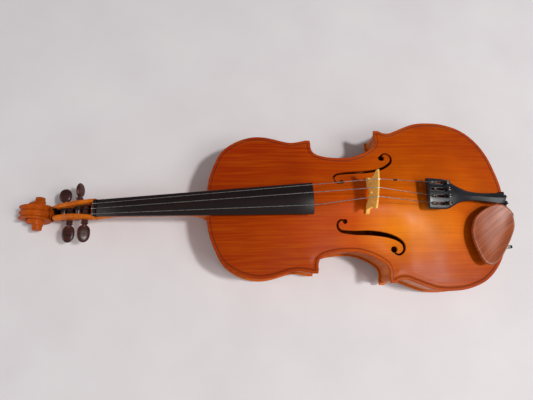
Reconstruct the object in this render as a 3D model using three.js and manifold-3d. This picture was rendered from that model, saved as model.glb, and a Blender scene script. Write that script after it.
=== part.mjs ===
// A viola lying on its back: sound box, neck with carved scroll, three strings,
// four pegs, a tailpiece with built-in fine tuners, and a clamped chin rest.
// Units are millimetres. +X runs from the scroll to the end button, +Y to the treble side, +Z up.
import * as THREE from 'three';
import { mergeVertices } from 'three/addons/utils/BufferGeometryUtils.js';
import Module from 'manifold-3d';

const wasm = await Module();
wasm.setup();

// Clearances shared by all pieces
const glueGap = 0.3;
const turningGap = 0.35;
const cutOverrun = 3;
const weldTolerance = 1e-4;
const smallestArea = 1e-7;

// Sound box
const bodyLength = 400;
const upperBoutWidth = 190;
const middleBoutWidth = 128;
const lowerBoutWidth = 232;
const upperCornerAlong = 139.5;
const lowerCornerAlong = 230.5;
const cornerLength = 6.5;
const ribHeight = 38;
const ribThickness = 1.2;
const edgeOverhang = 2.7;
const plateEdgeThickness = 4;
const plateThickness = 3;
const edgeRounding = 1.2;
const purflingInset = 4.6;
const frontArchRise = 15;
const backArchRise = 12;
const backRestDepth = 11;
const spineStartShare = 0.155;
const spineEndShare = 0.795;
const spineMiddleShare = 0.4675;
const spineStretchShare = 1.2;
const liningWidth = 2;
const liningHeight = 7;
const neckBlockDepth = 17;
const neckBlockWidth = 58;
const endBlockDepth = 15;
const endBlockWidth = 50;
const upperBlockSteps = { bout: 1, waist: 3 };
const lowerBlockSteps = { bout: 1, waist: 4 };
const cornerBlockTaperShare = 0.2;
const cornerBlockDepth = 8;
const buttonTabRadius = 11;

// Heights follow from lying on the back
const backEdgeBottom = backRestDepth;
const ribBottom = backEdgeBottom + plateEdgeThickness;
const ribTop = ribBottom + ribHeight;
const frontEdgeTop = ribTop + plateEdgeThickness;

// Sound holes
const soundHoleWidth = 5;
const soundHoleTipWidth = 2.2;
const upperEyeRadius = 3.1;
const lowerEyeRadius = 4.2;

// Neck and fingerboard
const neckLength = 139;
const boardLength = 273;
const boardWidthAtNut = 22;
const boardWidthAtEnd = 40.5;
const boardCrownRadius = 42;
const boardSideThickness = 5;
const boardCrownAtNut = 52.5;
const boardCrownAtEnd = 88.8;
const neckDepthAtNut = 13.5;
const neckDepthAtHeel = 16;
const heelRootDepth = 7;
const heelWidthAtTop = 31;
const heelWidthAtButton = 21;
const heelCurveLength = 26;
const nutThickness = 5;
const nutProud = 0.9;

// Pegbox and scroll
const pegboxLength = 56;
const pegboxWidthAtNut = 25;
const pegboxWidthAtScroll = 19;
const cheekThickness = 3.4;
const pegboxFloorThickness = 5;
const pegboxFloorAtNut = 14.5;
const pegboxTopAtScroll = 32;
const pegboxBottomAtNut = 29;
const pegboxBottomAtScroll = 11;
const scrollCentreFromNut = 87.5;
const scrollCentreUp = 23.4;
const scrollRadius = 23.2;
const scrollEyeRadius = 8;
const scrollHalfWidthOutside = 7.5;
const scrollHalfWidthAtEye = 22.5;
const scrollTurns = 2.5;

// Pegs
const pegShaftRadius = 3.9;
const pegTipRadius = 3.3;
const pegCollarRadius = 4.6;
const pegCollarLength = 3;
const pegHeadLength = 18;
const pegHeadWidth = 16.5;
const pegHeadThickness = 8;
const pegTipProud = 1;
const pegTipRounding = 0.6;
const pegHeadSunk = 0.6;
const pegCollarRise = 1;
const pegTaper = 0.1;
const pegCFromNut = 18;
const pegAFromNut = 28;
const pegGFromNut = 40;
const pegDFromNut = 49.5;
const pegFromNut = { c: pegCFromNut, a: pegAFromNut, g: pegGFromNut, d: pegDFromNut };
const pegCHeadGap = 8;
const pegAHeadGap = 6.5;
const pegGHeadGap = 8;
const pegDHeadGap = 2;
const pegHeadGap = { c: pegCHeadGap, a: pegAHeadGap, g: pegGHeadGap, d: pegDHeadGap };
const pegTurn = { c: 0.45, a: 1.35, g: 0.1, d: 0.15 };

// Strings
const highStringRadius = 0.4;
const middleStringRadius = 0.45;
const lowStringRadius = 0.5;
const stringRadius = { high: highStringRadius, middle: middleStringRadius, low: lowStringRadius };
const nutStringSpacing = 6.6;
const nutStringShift = -1.6;
const bridgeStringSpacing = 11.1;
const windingLoops = 3;
const windingStepsPerLoop = 16;
const windingPitchGap = 0.6;
const windingAcrossShares = { a: 0.16, d: 0.115, g: -0.15 };
const stringEndBack = 3.4;
const stringEndRise = 1.1;
const stringBallRadius = 1;
const stringBallLength = 0.8;
const stringBallTaper = 1.6;
const slackAcross = -10;
const slackBend = 2;

// Bridge, a little askew as it stands on the plate
const bridgeAlong = 208;
const bridgeAcross = 5.6;
const bridgeTurn = -0.148;
const bridgeHeight = 107;
const bridgeFootSpan = 49;
const bridgeCrownSpan = 50;
const bridgeFootThickness = 4.6;
const bridgeCrownThickness = 2;
const bridgeCrownDrop = 3.4;
const stringNotchDepth = 0.5;

// The sleeve on the highest string
const sleeveLength = 5;
const sleeveRadius = 1.2;
const sleeveFromBridge = 21;
const sleeveRounding = 0.4;
const sleeveFit = 0.15;

// Tailpiece and its hanger
const tailpieceLength = 114;
const tailpieceHeadAcross = 4.8;
const tailpieceFromTail = 5.5;
const tailpieceEndAcross = 0.3;
const tailpieceHeadWidth = 41;
const tailpieceWaistWidth = 10.4;
const tailpieceEndWidth = 17;
const tailpieceHeadTop = 87;
const tailpieceEndTop = 71;
const tailpieceCrown = 4;
const tailpieceThickness = 6.5;
const tailStringSpacing = 9.2;
const tunerSlotWidth = 3.4;
const tunerSlotStart = 3.5;
const tunerSlotLength = 19;
const tunerPinRadius = 0.7;
const tunerWallThickness = 2;
const tunerPivotAt = 7;
const tunerPivotDown = 3;
const tunerKnobRise = 0.8;
const tunerKnobEdge = 0.5;
const leverTailThickness = 1.4;
const tunerScrewRadius = 1.3;
const tunerKnobRadius = 2.7;
const tunerKnobLength = 4.5;
const tailgutRadius = 1;
const gutHalfSpacing = 4;
const gutHoleDepth = 10;
const saddleWidth = 24;
const saddleDepth = 7;
const saddleRise = 5;
const endButtonRadius = 7;
const endButtonShaftRadius = 3.6;
const endButtonGrooveRadius = 4;
const pegTipShare = 0.86;
const endButtonProud = 10;
const endButtonUp = 40;

// Sound post and bass bar
const soundPostRadius = 3.2;
const soundPostBehindBridge = 6;
const soundPostAcross = 21;
const bassBarLength = 290;
const bassBarWidth = 6;
const bassBarDepth = 11;
const bassBarAcross = -19;

// Chin rest
const chinRestFromTail = 33.3;
const chinRestAcross = -47.5;
const chinRestLength = 58.4;
const chinRestWidth = 77.8;
const chinRestTop = 73;
const chinRestThickness = 7.5;
const chinRestDish = 4;
const corkThickness = 2.2;
const clampBarWidth = 44;
const clampInwards = 6;
const clampBarHeight = 3;
const clampFootReach = 20;
const barrelRadius = 3;
const barrelLength = 19;
const clampRodRadius = 1.5;
const clampStandOff = 4.2;
const legPad = 3;
const corkEdgeSetBack = 1.5;
const rodReach = 5;
const barrelEdge = 0.6;
const chinFootDepth = 10;
const chinFootSetBack = 9;
const chinRestTipShare = 0.035;

// Colours seen on the instrument
const colours = {
  spruce: 0xd9660f, maple: 0xc85a12, rawSpruce: 0xe3c48f, rawMaple: 0xd9b98a, bridge: 0xd9a552,
  board: 0x2b2220, ebony: 0x241d1b, rosewood: 0x54342b, chinRest: 0x8a4f38, black: 0x141517,
  steel: 0xb9bcc0, string: 0xcfc8bb, cork: 0xa8794a, gut: 0x1c1c1e,
};

const viola = new THREE.Group();

function addPiece(name, geometry, colour, roughness, metalness = 0) {
  const material = new THREE.MeshStandardMaterial({ color: colour, roughness, metalness });
  const piece = new THREE.Mesh(geometry, material);
  piece.name = name;
  viola.add(piece);
  return piece;
}

// Solid helpers: a closed mesh becomes a solid, and back
function toSolid(geometry) {
  const bare = geometry.clone();
  bare.deleteAttribute('normal');
  bare.deleteAttribute('uv');
  const merged = mergeVertices(bare, weldTolerance);
  return new wasm.Manifold(new wasm.Mesh({
    numProp: 3,
    vertProperties: new Float32Array(merged.attributes.position.array),
    triVerts: new Uint32Array(merged.index.array),
  }));
}

function toGeometry(solid) {
  const mesh = solid.getMesh();
  const geometry = new THREE.BufferGeometry();
  const places = new Float32Array((mesh.vertProperties.length / mesh.numProp) * 3);
  for (let i = 0; i < places.length / 3; i += 1) {
    for (let k = 0; k < 3; k += 1) places[i * 3 + k] = mesh.vertProperties[i * mesh.numProp + k];
  }
  geometry.setAttribute('position', new THREE.BufferAttribute(places, 3));
  geometry.setIndex(Array.from(mesh.triVerts));
  geometry.computeVertexNormals();
  return geometry;
}

function cut(geometry, ...tools) {
  let solid = toSolid(geometry);
  for (const tool of tools) solid = solid.subtract(toSolid(tool));
  return toGeometry(solid);
}

function join(...pieces) {
  let solid = toSolid(pieces[0]);
  for (const piece of pieces.slice(1)) solid = solid.add(toSolid(piece));
  return toGeometry(solid);
}

// A closed surface from triangles given as corner triples; triangles without area are left out
function meshFromTriangles(triangles) {
  const places = [];
  for (const [a, b, c] of triangles) {
    const area = new THREE.Vector3().crossVectors(b.clone().sub(a), c.clone().sub(a)).length();
    if (area > smallestArea) places.push(a.x, a.y, a.z, b.x, b.y, b.z, c.x, c.y, c.z);
  }
  const geometry = new THREE.BufferGeometry();
  geometry.setAttribute('position', new THREE.Float32BufferAttribute(places, 3));
  const merged = mergeVertices(geometry, weldTolerance);
  merged.computeVertexNormals();
  return merged;
}

// Skin over closed loops of equal count, with both ends capped by a fan
function loft(loops) {
  const triangles = [];
  const count = loops[0].length;
  for (let i = 0; i + 1 < loops.length; i += 1) {
    for (let j = 0; j < count; j += 1) {
      const next = (j + 1) % count;
      triangles.push([loops[i][j], loops[i][next], loops[i + 1][next]]);
      triangles.push([loops[i][j], loops[i + 1][next], loops[i + 1][j]]);
    }
  }
  const centreOf = (loop) => loop.reduce((sum, p) => sum.add(p), new THREE.Vector3())
    .divideScalar(loop.length);
  const first = centreOf(loops[0]);
  const last = centreOf(loops[loops.length - 1]);
  for (let j = 0; j < count; j += 1) {
    const next = (j + 1) % count;
    triangles.push([first, loops[0][next], loops[0][j]]);
    triangles.push([last, loops[loops.length - 1][j], loops[loops.length - 1][next]]);
  }
  const geometry = meshFromTriangles(triangles);
  return signedVolume(geometry) < 0 ? turnedInsideOut(geometry) : geometry;
}

function signedVolume(geometry) {
  const places = geometry.attributes.position;
  const order = geometry.index.array;
  let total = 0;
  const [a, b, c] = [new THREE.Vector3(), new THREE.Vector3(), new THREE.Vector3()];
  for (let i = 0; i < order.length; i += 3) {
    a.fromBufferAttribute(places, order[i]);
    b.fromBufferAttribute(places, order[i + 1]);
    c.fromBufferAttribute(places, order[i + 2]);
    total += a.dot(b.cross(c)) / 6;
  }
  return total;
}

function turnedInsideOut(geometry) {
  const order = Array.from(geometry.index.array);
  for (let i = 0; i < order.length; i += 3) [order[i], order[i + 1]] = [order[i + 1], order[i]];
  geometry.setIndex(order);
  geometry.computeVertexNormals();
  return geometry;
}

// An upright prism over a plan outline of Vector2 points
function prism(points, bottom, top) {
  const geometry = new THREE.ExtrudeGeometry(new THREE.Shape(points), {
    depth: top - bottom, bevelEnabled: false,
  });
  return geometry.translate(0, 0, bottom);
}

// A prism over a side view (x, z), running across the instrument between two places
function sidePrism(points, right, left) {
  const geometry = new THREE.ExtrudeGeometry(new THREE.Shape(points), {
    depth: left - right, bevelEnabled: false,
  });
  return geometry.rotateX(Math.PI / 2).translate(0, left, 0);
}

function box(lengthX, widthY, heightZ, x, y, z) {
  return new THREE.BoxGeometry(lengthX, widthY, heightZ).translate(x, y, z);
}

function rod(radius, from, to, sides = 16) {
  const length = from.distanceTo(to);
  const geometry = new THREE.CylinderGeometry(radius, radius, length, sides);
  const turn = new THREE.Quaternion().setFromUnitVectors(
    new THREE.Vector3(0, 1, 0), to.clone().sub(from).normalize());
  const middle = from.clone().add(to).multiplyScalar(0.5);
  return geometry.applyQuaternion(turn).translate(middle.x, middle.y, middle.z);
}

// A round body of revolution; the profile holds (distance along, radius) pairs from end to end
function turned(profile, from, direction, sides = 16) {
  const points = profile.map(([along, radius]) => new THREE.Vector2(radius, along));
  const geometry = new THREE.LatheGeometry(points, sides);
  const turn = new THREE.Quaternion().setFromUnitVectors(
    new THREE.Vector3(0, 1, 0), direction.clone().normalize());
  const merged = mergedBare(geometry.applyQuaternion(turn).translate(from.x, from.y, from.z));
  return signedVolume(merged) < 0 ? turnedInsideOut(merged) : merged;
}

function mergedBare(geometry) {
  const bare = geometry.clone();
  bare.deleteAttribute('normal');
  bare.deleteAttribute('uv');
  const flat = bare.index ? bare.toNonIndexed() : bare;
  const places = flat.attributes.position;
  const triangles = [];
  for (let i = 0; i < places.count; i += 3) {
    triangles.push([0, 1, 2].map((k) => new THREE.Vector3().fromBufferAttribute(places, i + k)));
  }
  return meshFromTriangles(triangles);
}

// Smooth steps between the rows of a small table of [place, value] shares
function alongTable(rows, at) {
  if (at <= rows[0][0]) return rows[0][1];
  for (let i = 1; i < rows.length; i += 1) {
    if (at <= rows[i][0]) {
      const t = (at - rows[i - 1][0]) / (rows[i][0] - rows[i - 1][0]);
      const s = (1 - Math.cos(Math.PI * t)) / 2;
      return rows[i - 1][1] + (rows[i][1] - rows[i - 1][1]) * s;
    }
  }
  return rows[rows.length - 1][1];
}

const mix = (a, b, t) => a + (b - a) * t;

// Plan outline of one half, from the neck end to the tail end, in shares of each bout's size
const upperBoutShares = [
  [0, 0], [0.003, 0.16], [0.024, 0.38], [0.07, 0.575], [0.14, 0.765], [0.24, 0.885], [0.36, 0.965],
  [0.48, 1], [0.58, 0.995], [0.68, 0.965], [0.77, 0.93], [0.845, 0.912], [0.9, 0.917], [1, 0.947],
];
const middleBoutShares = [
  [0, 1], [0.01, 0.84], [0.01, 0.62], [0.03, 0.38], [0.085, 0.21], [0.17, 0.1], [0.31, 0.02],
  [0.445, 0], [0.577, 0.013], [0.7, 0.077], [0.81, 0.18], [0.907, 0.31], [0.983, 0.46],
  [1.005, 0.64], [0.995, 0.85], [1, 1],
];
const lowerBoutShares = [
  [0, 0.899], [0.033, 0.873], [0.088, 0.866], [0.155, 0.9], [0.228, 0.944], [0.313, 0.985],
  [0.392, 1], [0.471, 1], [0.55, 0.99], [0.64, 0.957], [0.708, 0.918], [0.78, 0.849],
  [0.842, 0.76], [0.89, 0.664], [0.934, 0.535], [0.97, 0.36], [0.994, 0.19], [1, 0],
];
const upperBoutSteps = 13;
const middleBoutSteps = 14;
const lowerBoutSteps = 16;

const curveDivisions = 400;

function smoothRun(places, steps) {
  const curve = new THREE.CatmullRomCurve3(places.map(([x, y]) => new THREE.Vector3(x, y, 0)));
  curve.arcLengthDivisions = curveDivisions;
  return curve.getSpacedPoints(steps).map((p) => new THREE.Vector2(p.x, p.y));
}

function halfOutline() {
  const upperHalf = upperBoutWidth / 2;
  const middleHalf = middleBoutWidth / 2;
  const lowerHalf = lowerBoutWidth / 2;
  const upperTip = upperCornerAlong - cornerLength;
  const lowerTip = lowerCornerAlong + cornerLength;
  const upperCornerHalf = upperHalf * upperBoutShares.at(-1)[1];
  const lowerCornerHalf = lowerHalf * lowerBoutShares[0][1];
  const upper = smoothRun(upperBoutShares.map(([a, b]) => [upperTip * a, upperHalf * b]), upperBoutSteps);
  const middle = smoothRun(middleBoutShares.map(([a, b], i) => [
    mix(upperCornerAlong, lowerCornerAlong, a),
    mix(middleHalf, i < middleBoutShares.length / 2 ? upperCornerHalf : lowerCornerHalf, b),
  ]), middleBoutSteps);
  const lower = smoothRun(lowerBoutShares.map(([a, b]) => [
    mix(lowerTip, bodyLength, a), lowerHalf * b]), lowerBoutSteps);
  return { upper, middle, lower };
}

// Whole outline, counterclockwise from the neck end along the bass side and back along the treble
const half = halfOutline();
const trebleSide = [...half.upper, ...half.middle, ...half.lower];
const lastUpper = half.upper.length - 1;
const firstMiddle = half.upper.length;
const lastMiddle = firstMiddle + half.middle.length - 1;
const firstLower = lastMiddle + 1;
const lastLower = trebleSide.length - 1;
const outline = [
  ...trebleSide.map((p) => new THREE.Vector2(p.x, -p.y)),
  ...trebleSide.slice(1, -1).reverse().map((p) => p.clone()),
];

// The outline drawn in by one distance all round, corner for corner; sharp corners are held back
const leastCornerShare = 0.45;

function drawnIn(distance) {
  const count = outline.length;
  return outline.map((p, i) => {
    const before = outline[(i + count - 1) % count];
    const after = outline[(i + 1) % count];
    const first = p.clone().sub(before).normalize();
    const second = after.clone().sub(p).normalize();
    const normal = new THREE.Vector2(-first.y - second.y, first.x + second.x).normalize();
    const stretch = Math.max(normal.x * -first.y + normal.y * first.x, leastCornerShare);
    return p.clone().addScaledVector(normal, distance / stretch);
  });
}

// Arching: how high the plate stands above its edge, as a share of its full rise
const archWidthShares = [
  [0, 0.3], [0.05, 0.5], [0.17, 0.79], [0.29, 0.7], [0.45, 0.53], [0.56, 0.58], [0.66, 0.83],
  [0.77, 0.96], [0.88, 0.85], [0.96, 0.5], [1, 0.3],
];
const archLengthShares = [[0.015, 0], [0.3, 0.93], [0.47, 1], [0.64, 0.95], [0.985, 0]];

function archShare(x, y) {
  const along = x / bodyLength;
  const halfWidth = alongTable(archWidthShares, along) * lowerBoutWidth / 2;
  const across = Math.min(Math.abs(y) / halfWidth, 1);
  const cross = (1 + Math.cos(Math.PI * across)) / 2;
  return alongTable(archLengthShares, along) * cross;
}

const frontTopAt = (x, y) => frontEdgeTop + frontArchRise * archShare(x, y);
const frontUnderAt = (x, y) => Math.max(ribTop + glueGap, frontTopAt(x, y) - plateThickness);
const backUnderAt = (x, y) => backEdgeBottom - backArchRise * archShare(x, y);
const backInsideAt = (x, y) => Math.min(ribBottom - glueGap, backUnderAt(x, y) + plateThickness);

// Plates: rings drawn in from the outline, then shares of the way to a spine on the centre line
const ringShares = [0.14, 0.34, 0.6];

function plateRings() {
  const edge = outline;
  const rounded = drawnIn(edgeRounding);
  const purfling = drawnIn(purflingInset);
  const spine = purfling.map((p) => new THREE.Vector2(THREE.MathUtils.clamp(
    mix(spineMiddleShare * bodyLength, p.x, spineStretchShare),
    spineStartShare * bodyLength, spineEndShare * bodyLength), 0));
  const shared = ringShares.map((share) => purfling.map((p, i) => p.clone().lerp(spine[i], share)));
  return { edge, rounded, purfling, inner: [...shared, spine] };
}

function plateGeometry(outerAt, innerAt, edgeOuter, edgeInner) {
  const rings = plateRings();
  const down = Math.sign(edgeOuter - edgeInner);
  const lifted = (ring, at) => ring.map((p) => new THREE.Vector3(p.x, p.y, at(p.x, p.y)));
  const innerRing = rings.purfling.map((p) => p.clone());
  const skins = [
    ...rings.inner.slice().reverse().map((ring) => lifted(ring, outerAt)),
    lifted(rings.purfling, outerAt),
    lifted(rings.rounded, () => edgeOuter),
    lifted(rings.edge, () => edgeOuter - down * edgeRounding),
    lifted(rings.edge, () => edgeInner + down * edgeRounding),
    lifted(rings.rounded, () => edgeInner),
    lifted(innerRing, () => edgeInner),
    ...rings.inner.map((ring) => lifted(ring, innerAt)),
  ];
  const triangles = [];
  const count = outline.length;
  for (let i = 0; i + 1 < skins.length; i += 1) {
    for (let j = 0; j < count; j += 1) {
      const next = (j + 1) % count;
      triangles.push([skins[i][j], skins[i][next], skins[i + 1][next]]);
      triangles.push([skins[i][j], skins[i + 1][next], skins[i + 1][j]]);
    }
  }
  const geometry = meshFromTriangles(triangles);
  return signedVolume(geometry) < 0 ? turnedInsideOut(geometry) : geometry;
}

// One sound hole: a stem that follows a curve and swells in its middle, with a round eye at each end.
// Its places are shares of the distance between the corners and of half the middle bout
const soundHoleShares = [
  [0.407, 0.416], [0.352, 0.384], [0.305, 0.431], [0.3, 0.516], [0.341, 0.588], [0.423, 0.616],
  [0.555, 0.634], [0.709, 0.641], [0.852, 0.662], [0.984, 0.703], [1.099, 0.778], [1.176, 0.883],
  [1.179, 1.008], [1.115, 1.081], [1.06, 1.047], [1.052, 0.978],
];
const soundHoleRoute = soundHoleShares.map(([a, b]) => [
  mix(upperCornerAlong, lowerCornerAlong, a), (middleBoutWidth / 2) * b]);
const soundHoleFrom = soundHoleRoute[0];
const soundHoleTo = soundHoleRoute.at(-1);
const soundHoleSteps = 20;

function soundHoleTools(side) {
  const curve = new THREE.CatmullRomCurve3(soundHoleRoute.map(([x, y]) => new THREE.Vector3(x, y * side, 0)));
  const left = [];
  const right = [];
  for (let i = 0; i <= soundHoleSteps; i += 1) {
    const share = i / soundHoleSteps;
    const p = curve.getPointAt(share);
    const along = curve.getTangentAt(share);
    const halfWidth = mix(soundHoleTipWidth, soundHoleWidth, Math.sin(Math.PI * share) ** 2) / 2;
    left.push(new THREE.Vector2(p.x - along.y * halfWidth, p.y + along.x * halfWidth));
    right.push(new THREE.Vector2(p.x + along.y * halfWidth, p.y - along.x * halfWidth));
  }
  const bottom = ribBottom;
  const top = frontEdgeTop + frontArchRise + cutOverrun;
  const eye = ([x, y], radius) => rod(
    radius, new THREE.Vector3(x, y * side, bottom), new THREE.Vector3(x, y * side, top), 12);
  return [
    prism([...left, ...right.reverse()], bottom, top),
    eye(soundHoleFrom, upperEyeRadius),
    eye(soundHoleTo, lowerEyeRadius),
  ];
}

// What the neck root, the saddle and the end button take out of the sound box
const neckSeatWidth = heelWidthAtTop + 2 * glueGap;
const neckSeat = box(
  heelRootDepth + cutOverrun + glueGap, neckSeatWidth, frontEdgeTop + cutOverrun - ribBottom - glueGap,
  (heelRootDepth + glueGap - cutOverrun) / 2, 0, (frontEdgeTop + cutOverrun + ribBottom + glueGap) / 2);
const saddleSeat = box(
  saddleDepth + cutOverrun + glueGap, saddleWidth + 2 * glueGap, plateEdgeThickness + 2 * cutOverrun,
  bodyLength - (saddleDepth + glueGap - cutOverrun) / 2, 0, frontEdgeTop - plateEdgeThickness / 2);
const buttonBore = rod(
  endButtonShaftRadius + glueGap,
  new THREE.Vector3(bodyLength - endBlockDepth - 2 * cutOverrun - edgeOverhang, 0, endButtonUp),
  new THREE.Vector3(bodyLength + cutOverrun, 0, endButtonUp));

const frontPlate = cut(
  plateGeometry(frontTopAt, frontUnderAt, frontEdgeTop, ribTop + glueGap),
  ...soundHoleTools(1), ...soundHoleTools(-1), neckSeat, saddleSeat);
addPiece('front_plate', frontPlate, colours.spruce, 0.3);

const tabOutline = [];
const tabSteps = 10;
for (let i = 0; i <= tabSteps; i += 1) {
  const angle = Math.PI / 2 + (Math.PI * i) / tabSteps;
  tabOutline.push(new THREE.Vector2(buttonTabRadius * Math.cos(angle), buttonTabRadius * Math.sin(angle)));
}
tabOutline.push(
  new THREE.Vector2(edgeOverhang, -buttonTabRadius), new THREE.Vector2(edgeOverhang, buttonTabRadius));
const backWithTab = join(
  plateGeometry(backUnderAt, backInsideAt, backEdgeBottom, ribBottom - glueGap),
  prism(tabOutline, backEdgeBottom, ribBottom - glueGap));

// The crown of the back is level where the instrument rests on it
const restLevel = box(bodyLength, lowerBoutWidth, backEdgeBottom, bodyLength / 2, 0, -backEdgeBottom / 2);
const backPlate = cut(backWithTab, restLevel);
addPiece('back_plate', backPlate, colours.maple, 0.3);

// Ribs stand between the plates along the outline, set in by the edge's overhang
const ribOuterLine = drawnIn(edgeOverhang);
const ribInnerLine = drawnIn(edgeOverhang + ribThickness);

// A stretch of a line between two places in its order, as seen on one side of the instrument
function stretch(line, from, to, side) {
  const points = [];
  for (let i = from; i <= to; i += 1) points.push(line[i]);
  return points.map((p) => new THREE.Vector2(p.x, -p.y * side));
}

function wall(outer, inner, bottom, top) {
  return mergedBare(prism([...outer, ...inner.slice().reverse()], bottom, top));
}

// The corner joint lies halfway along the blunt corner
function cornerPoint(line, first, second, towards, side) {
  const middle = line[first].clone().lerp(line[second], 0.5);
  const pull = line[towards].clone().sub(middle).normalize().multiplyScalar(glueGap / 2);
  const place = middle.add(pull);
  return new THREE.Vector2(place.x, -place.y * side);
}

const sides = [['bass', -1], ['treble', 1]];
const neckRibStart = neckSeatWidth / 2 + glueGap;

// A stretch that starts where a line leaves a strip of the given half width round the centre line
function clearOfCentre(points, halfWidth) {
  const kept = points.filter((p) => Math.abs(p.y) > halfWidth);
  const first = kept[0];
  const sign = Math.sign(first.y);
  const at = points.indexOf(first);
  const before = points[Math.max(at - 1, 0)];
  const t = first.y === before.y ? 0 : (sign * halfWidth - before.y) / (first.y - before.y);
  return [before.clone().lerp(first, t), ...kept];
}

for (const [sideName, side] of sides) {
  const ribZ = [ribBottom, ribTop];
  const upperOuter = clearOfCentre(stretch(ribOuterLine, 0, lastUpper, side), neckRibStart);
  const upperInner = clearOfCentre(stretch(ribInnerLine, 0, lastUpper, side), neckRibStart);
  upperOuter.push(cornerPoint(ribOuterLine, lastUpper, firstMiddle, lastUpper, side));
  upperInner.push(cornerPoint(ribInnerLine, lastUpper, firstMiddle, lastUpper, side));
  addPiece(`upper_rib_${sideName}`, wall(upperOuter, upperInner, ...ribZ), colours.maple, 0.32);

  const middleOuter = [
    cornerPoint(ribOuterLine, lastUpper, firstMiddle, firstMiddle, side),
    ...stretch(ribOuterLine, firstMiddle, lastMiddle, side),
    cornerPoint(ribOuterLine, lastMiddle, firstLower, lastMiddle, side),
  ];
  const middleInner = [
    cornerPoint(ribInnerLine, lastUpper, firstMiddle, firstMiddle, side),
    ...stretch(ribInnerLine, firstMiddle, lastMiddle, side),
    cornerPoint(ribInnerLine, lastMiddle, firstLower, lastMiddle, side),
  ];
  addPiece(`middle_rib_${sideName}`, wall(middleOuter, middleInner, ...ribZ), colours.maple, 0.32);

  const lowerOuter = clearOfCentre(stretch(ribOuterLine, firstLower, lastLower, side).reverse(), glueGap / 2);
  const lowerInner = clearOfCentre(stretch(ribInnerLine, firstLower, lastLower, side).reverse(), glueGap / 2);
  lowerOuter.push(cornerPoint(ribOuterLine, lastMiddle, firstLower, firstLower, side));
  lowerInner.push(cornerPoint(ribInnerLine, lastMiddle, firstLower, firstLower, side));
  const lowerRib = cut(wall(lowerOuter, lowerInner, ...ribZ), buttonBore);
  addPiece(`lower_rib_${sideName}`, lowerRib, colours.maple, 0.32);
}

const blockLine = drawnIn(edgeOverhang + ribThickness + 2 * glueGap);

// Linings: strips that widen the ribs' edges, between the blocks
const liningStretches = [
  ['upper', neckBlockWidth / 2 + glueGap, 0, lastUpper],
  ['middle', 0, firstMiddle, lastMiddle],
  ['lower', endBlockWidth / 2 + glueGap, firstLower, lastLower],
];

// The outline's points that a corner block fills
function cornerStretch(upper, side) {
  const from = upper ? lastUpper - upperBlockSteps.bout : lastMiddle - lowerBlockSteps.waist;
  const to = upper ? firstMiddle + upperBlockSteps.waist : firstLower + lowerBlockSteps.bout;
  return stretch(blockLine, from, to, side);
}

// Points of a stretch that stay clear of the corner blocks along the instrument
function clearOfCorners(points) {
  const blocks = [true, false].map((upper) => cornerStretch(upper, 1).map((p) => p.x));
  return points.filter((p) => blocks.every((places) => p.x < Math.min(...places) - glueGap
    || p.x > Math.max(...places) + glueGap));
}

for (const [sideName, side] of sides) {
  for (const [bout, centreClearance, from, to] of liningStretches) {
    const outer = clearOfCorners(stretch(drawnIn(edgeOverhang + ribThickness + glueGap), from, to, side))
      .filter((p) => Math.abs(p.y) > centreClearance);
    const inner = outer.map((p, i) => {
      const before = outer[Math.max(i - 1, 0)];
      const after = outer[Math.min(i + 1, outer.length - 1)];
      const along = after.clone().sub(before).normalize();
      const inward = new THREE.Vector2(along.y, -along.x).multiplyScalar(side * liningWidth);
      return p.clone().add(inward);
    });
    const backLining = wall(outer, inner, ribBottom, ribBottom + liningHeight);
    const frontLining = wall(outer, inner, ribTop - liningHeight, ribTop);
    addPiece(`${bout}_back_lining_${sideName}`, backLining, colours.rawMaple, 0.8);
    addPiece(`${bout}_front_lining_${sideName}`, frontLining, colours.rawMaple, 0.8);
  }
}

// Blocks fill the sound box where the neck, the end button and the corners need wood
function centreBlock(line, atNeck, width, depth) {
  const within = line.filter((p) => Math.abs(p.y) < width / 2
    && (atNeck ? p.x < bodyLength / 2 : p.x > bodyLength / 2));
  const ordered = within.slice().sort((a, b) => a.y - b.y);
  const ends = [-width / 2, width / 2].map((y) => {
    const near = ordered.reduce((best, p) => (Math.abs(p.y - y) < Math.abs(best.y - y) ? p : best));
    return new THREE.Vector2(near.x + (atNeck ? liningWidth : -liningWidth), y);
  });
  const back = atNeck ? depth + edgeOverhang : bodyLength - depth - edgeOverhang;
  const points = [
    ends[0], ...ordered, ends[1], new THREE.Vector2(back, width / 2), new THREE.Vector2(back, -width / 2),
  ];
  return prism(points, ribBottom, ribTop);
}

addPiece('neck_block', cut(centreBlock(blockLine, true, neckBlockWidth, neckBlockDepth), neckSeat),
  colours.rawSpruce, 0.85);
addPiece('end_block', cut(centreBlock(blockLine, false, endBlockWidth, endBlockDepth), buttonBore),
  colours.rawSpruce, 0.85);

function cornerBlock(upper, side) {
  const points = cornerStretch(upper, side);
  const centre = (points[0].x + points.at(-1).x) / 2;
  const inward = (p) => new THREE.Vector2(
    mix(p.x, centre, cornerBlockTaperShare), p.y - side * cornerBlockDepth);
  return prism([...points, inward(points.at(-1)), inward(points[0])], ribBottom, ribTop);
}

for (const [sideName, side] of sides) {
  addPiece(`upper_corner_block_${sideName}`, cornerBlock(true, side), colours.rawSpruce, 0.85);
  addPiece(`lower_corner_block_${sideName}`, cornerBlock(false, side), colours.rawSpruce, 0.85);
}

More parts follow.
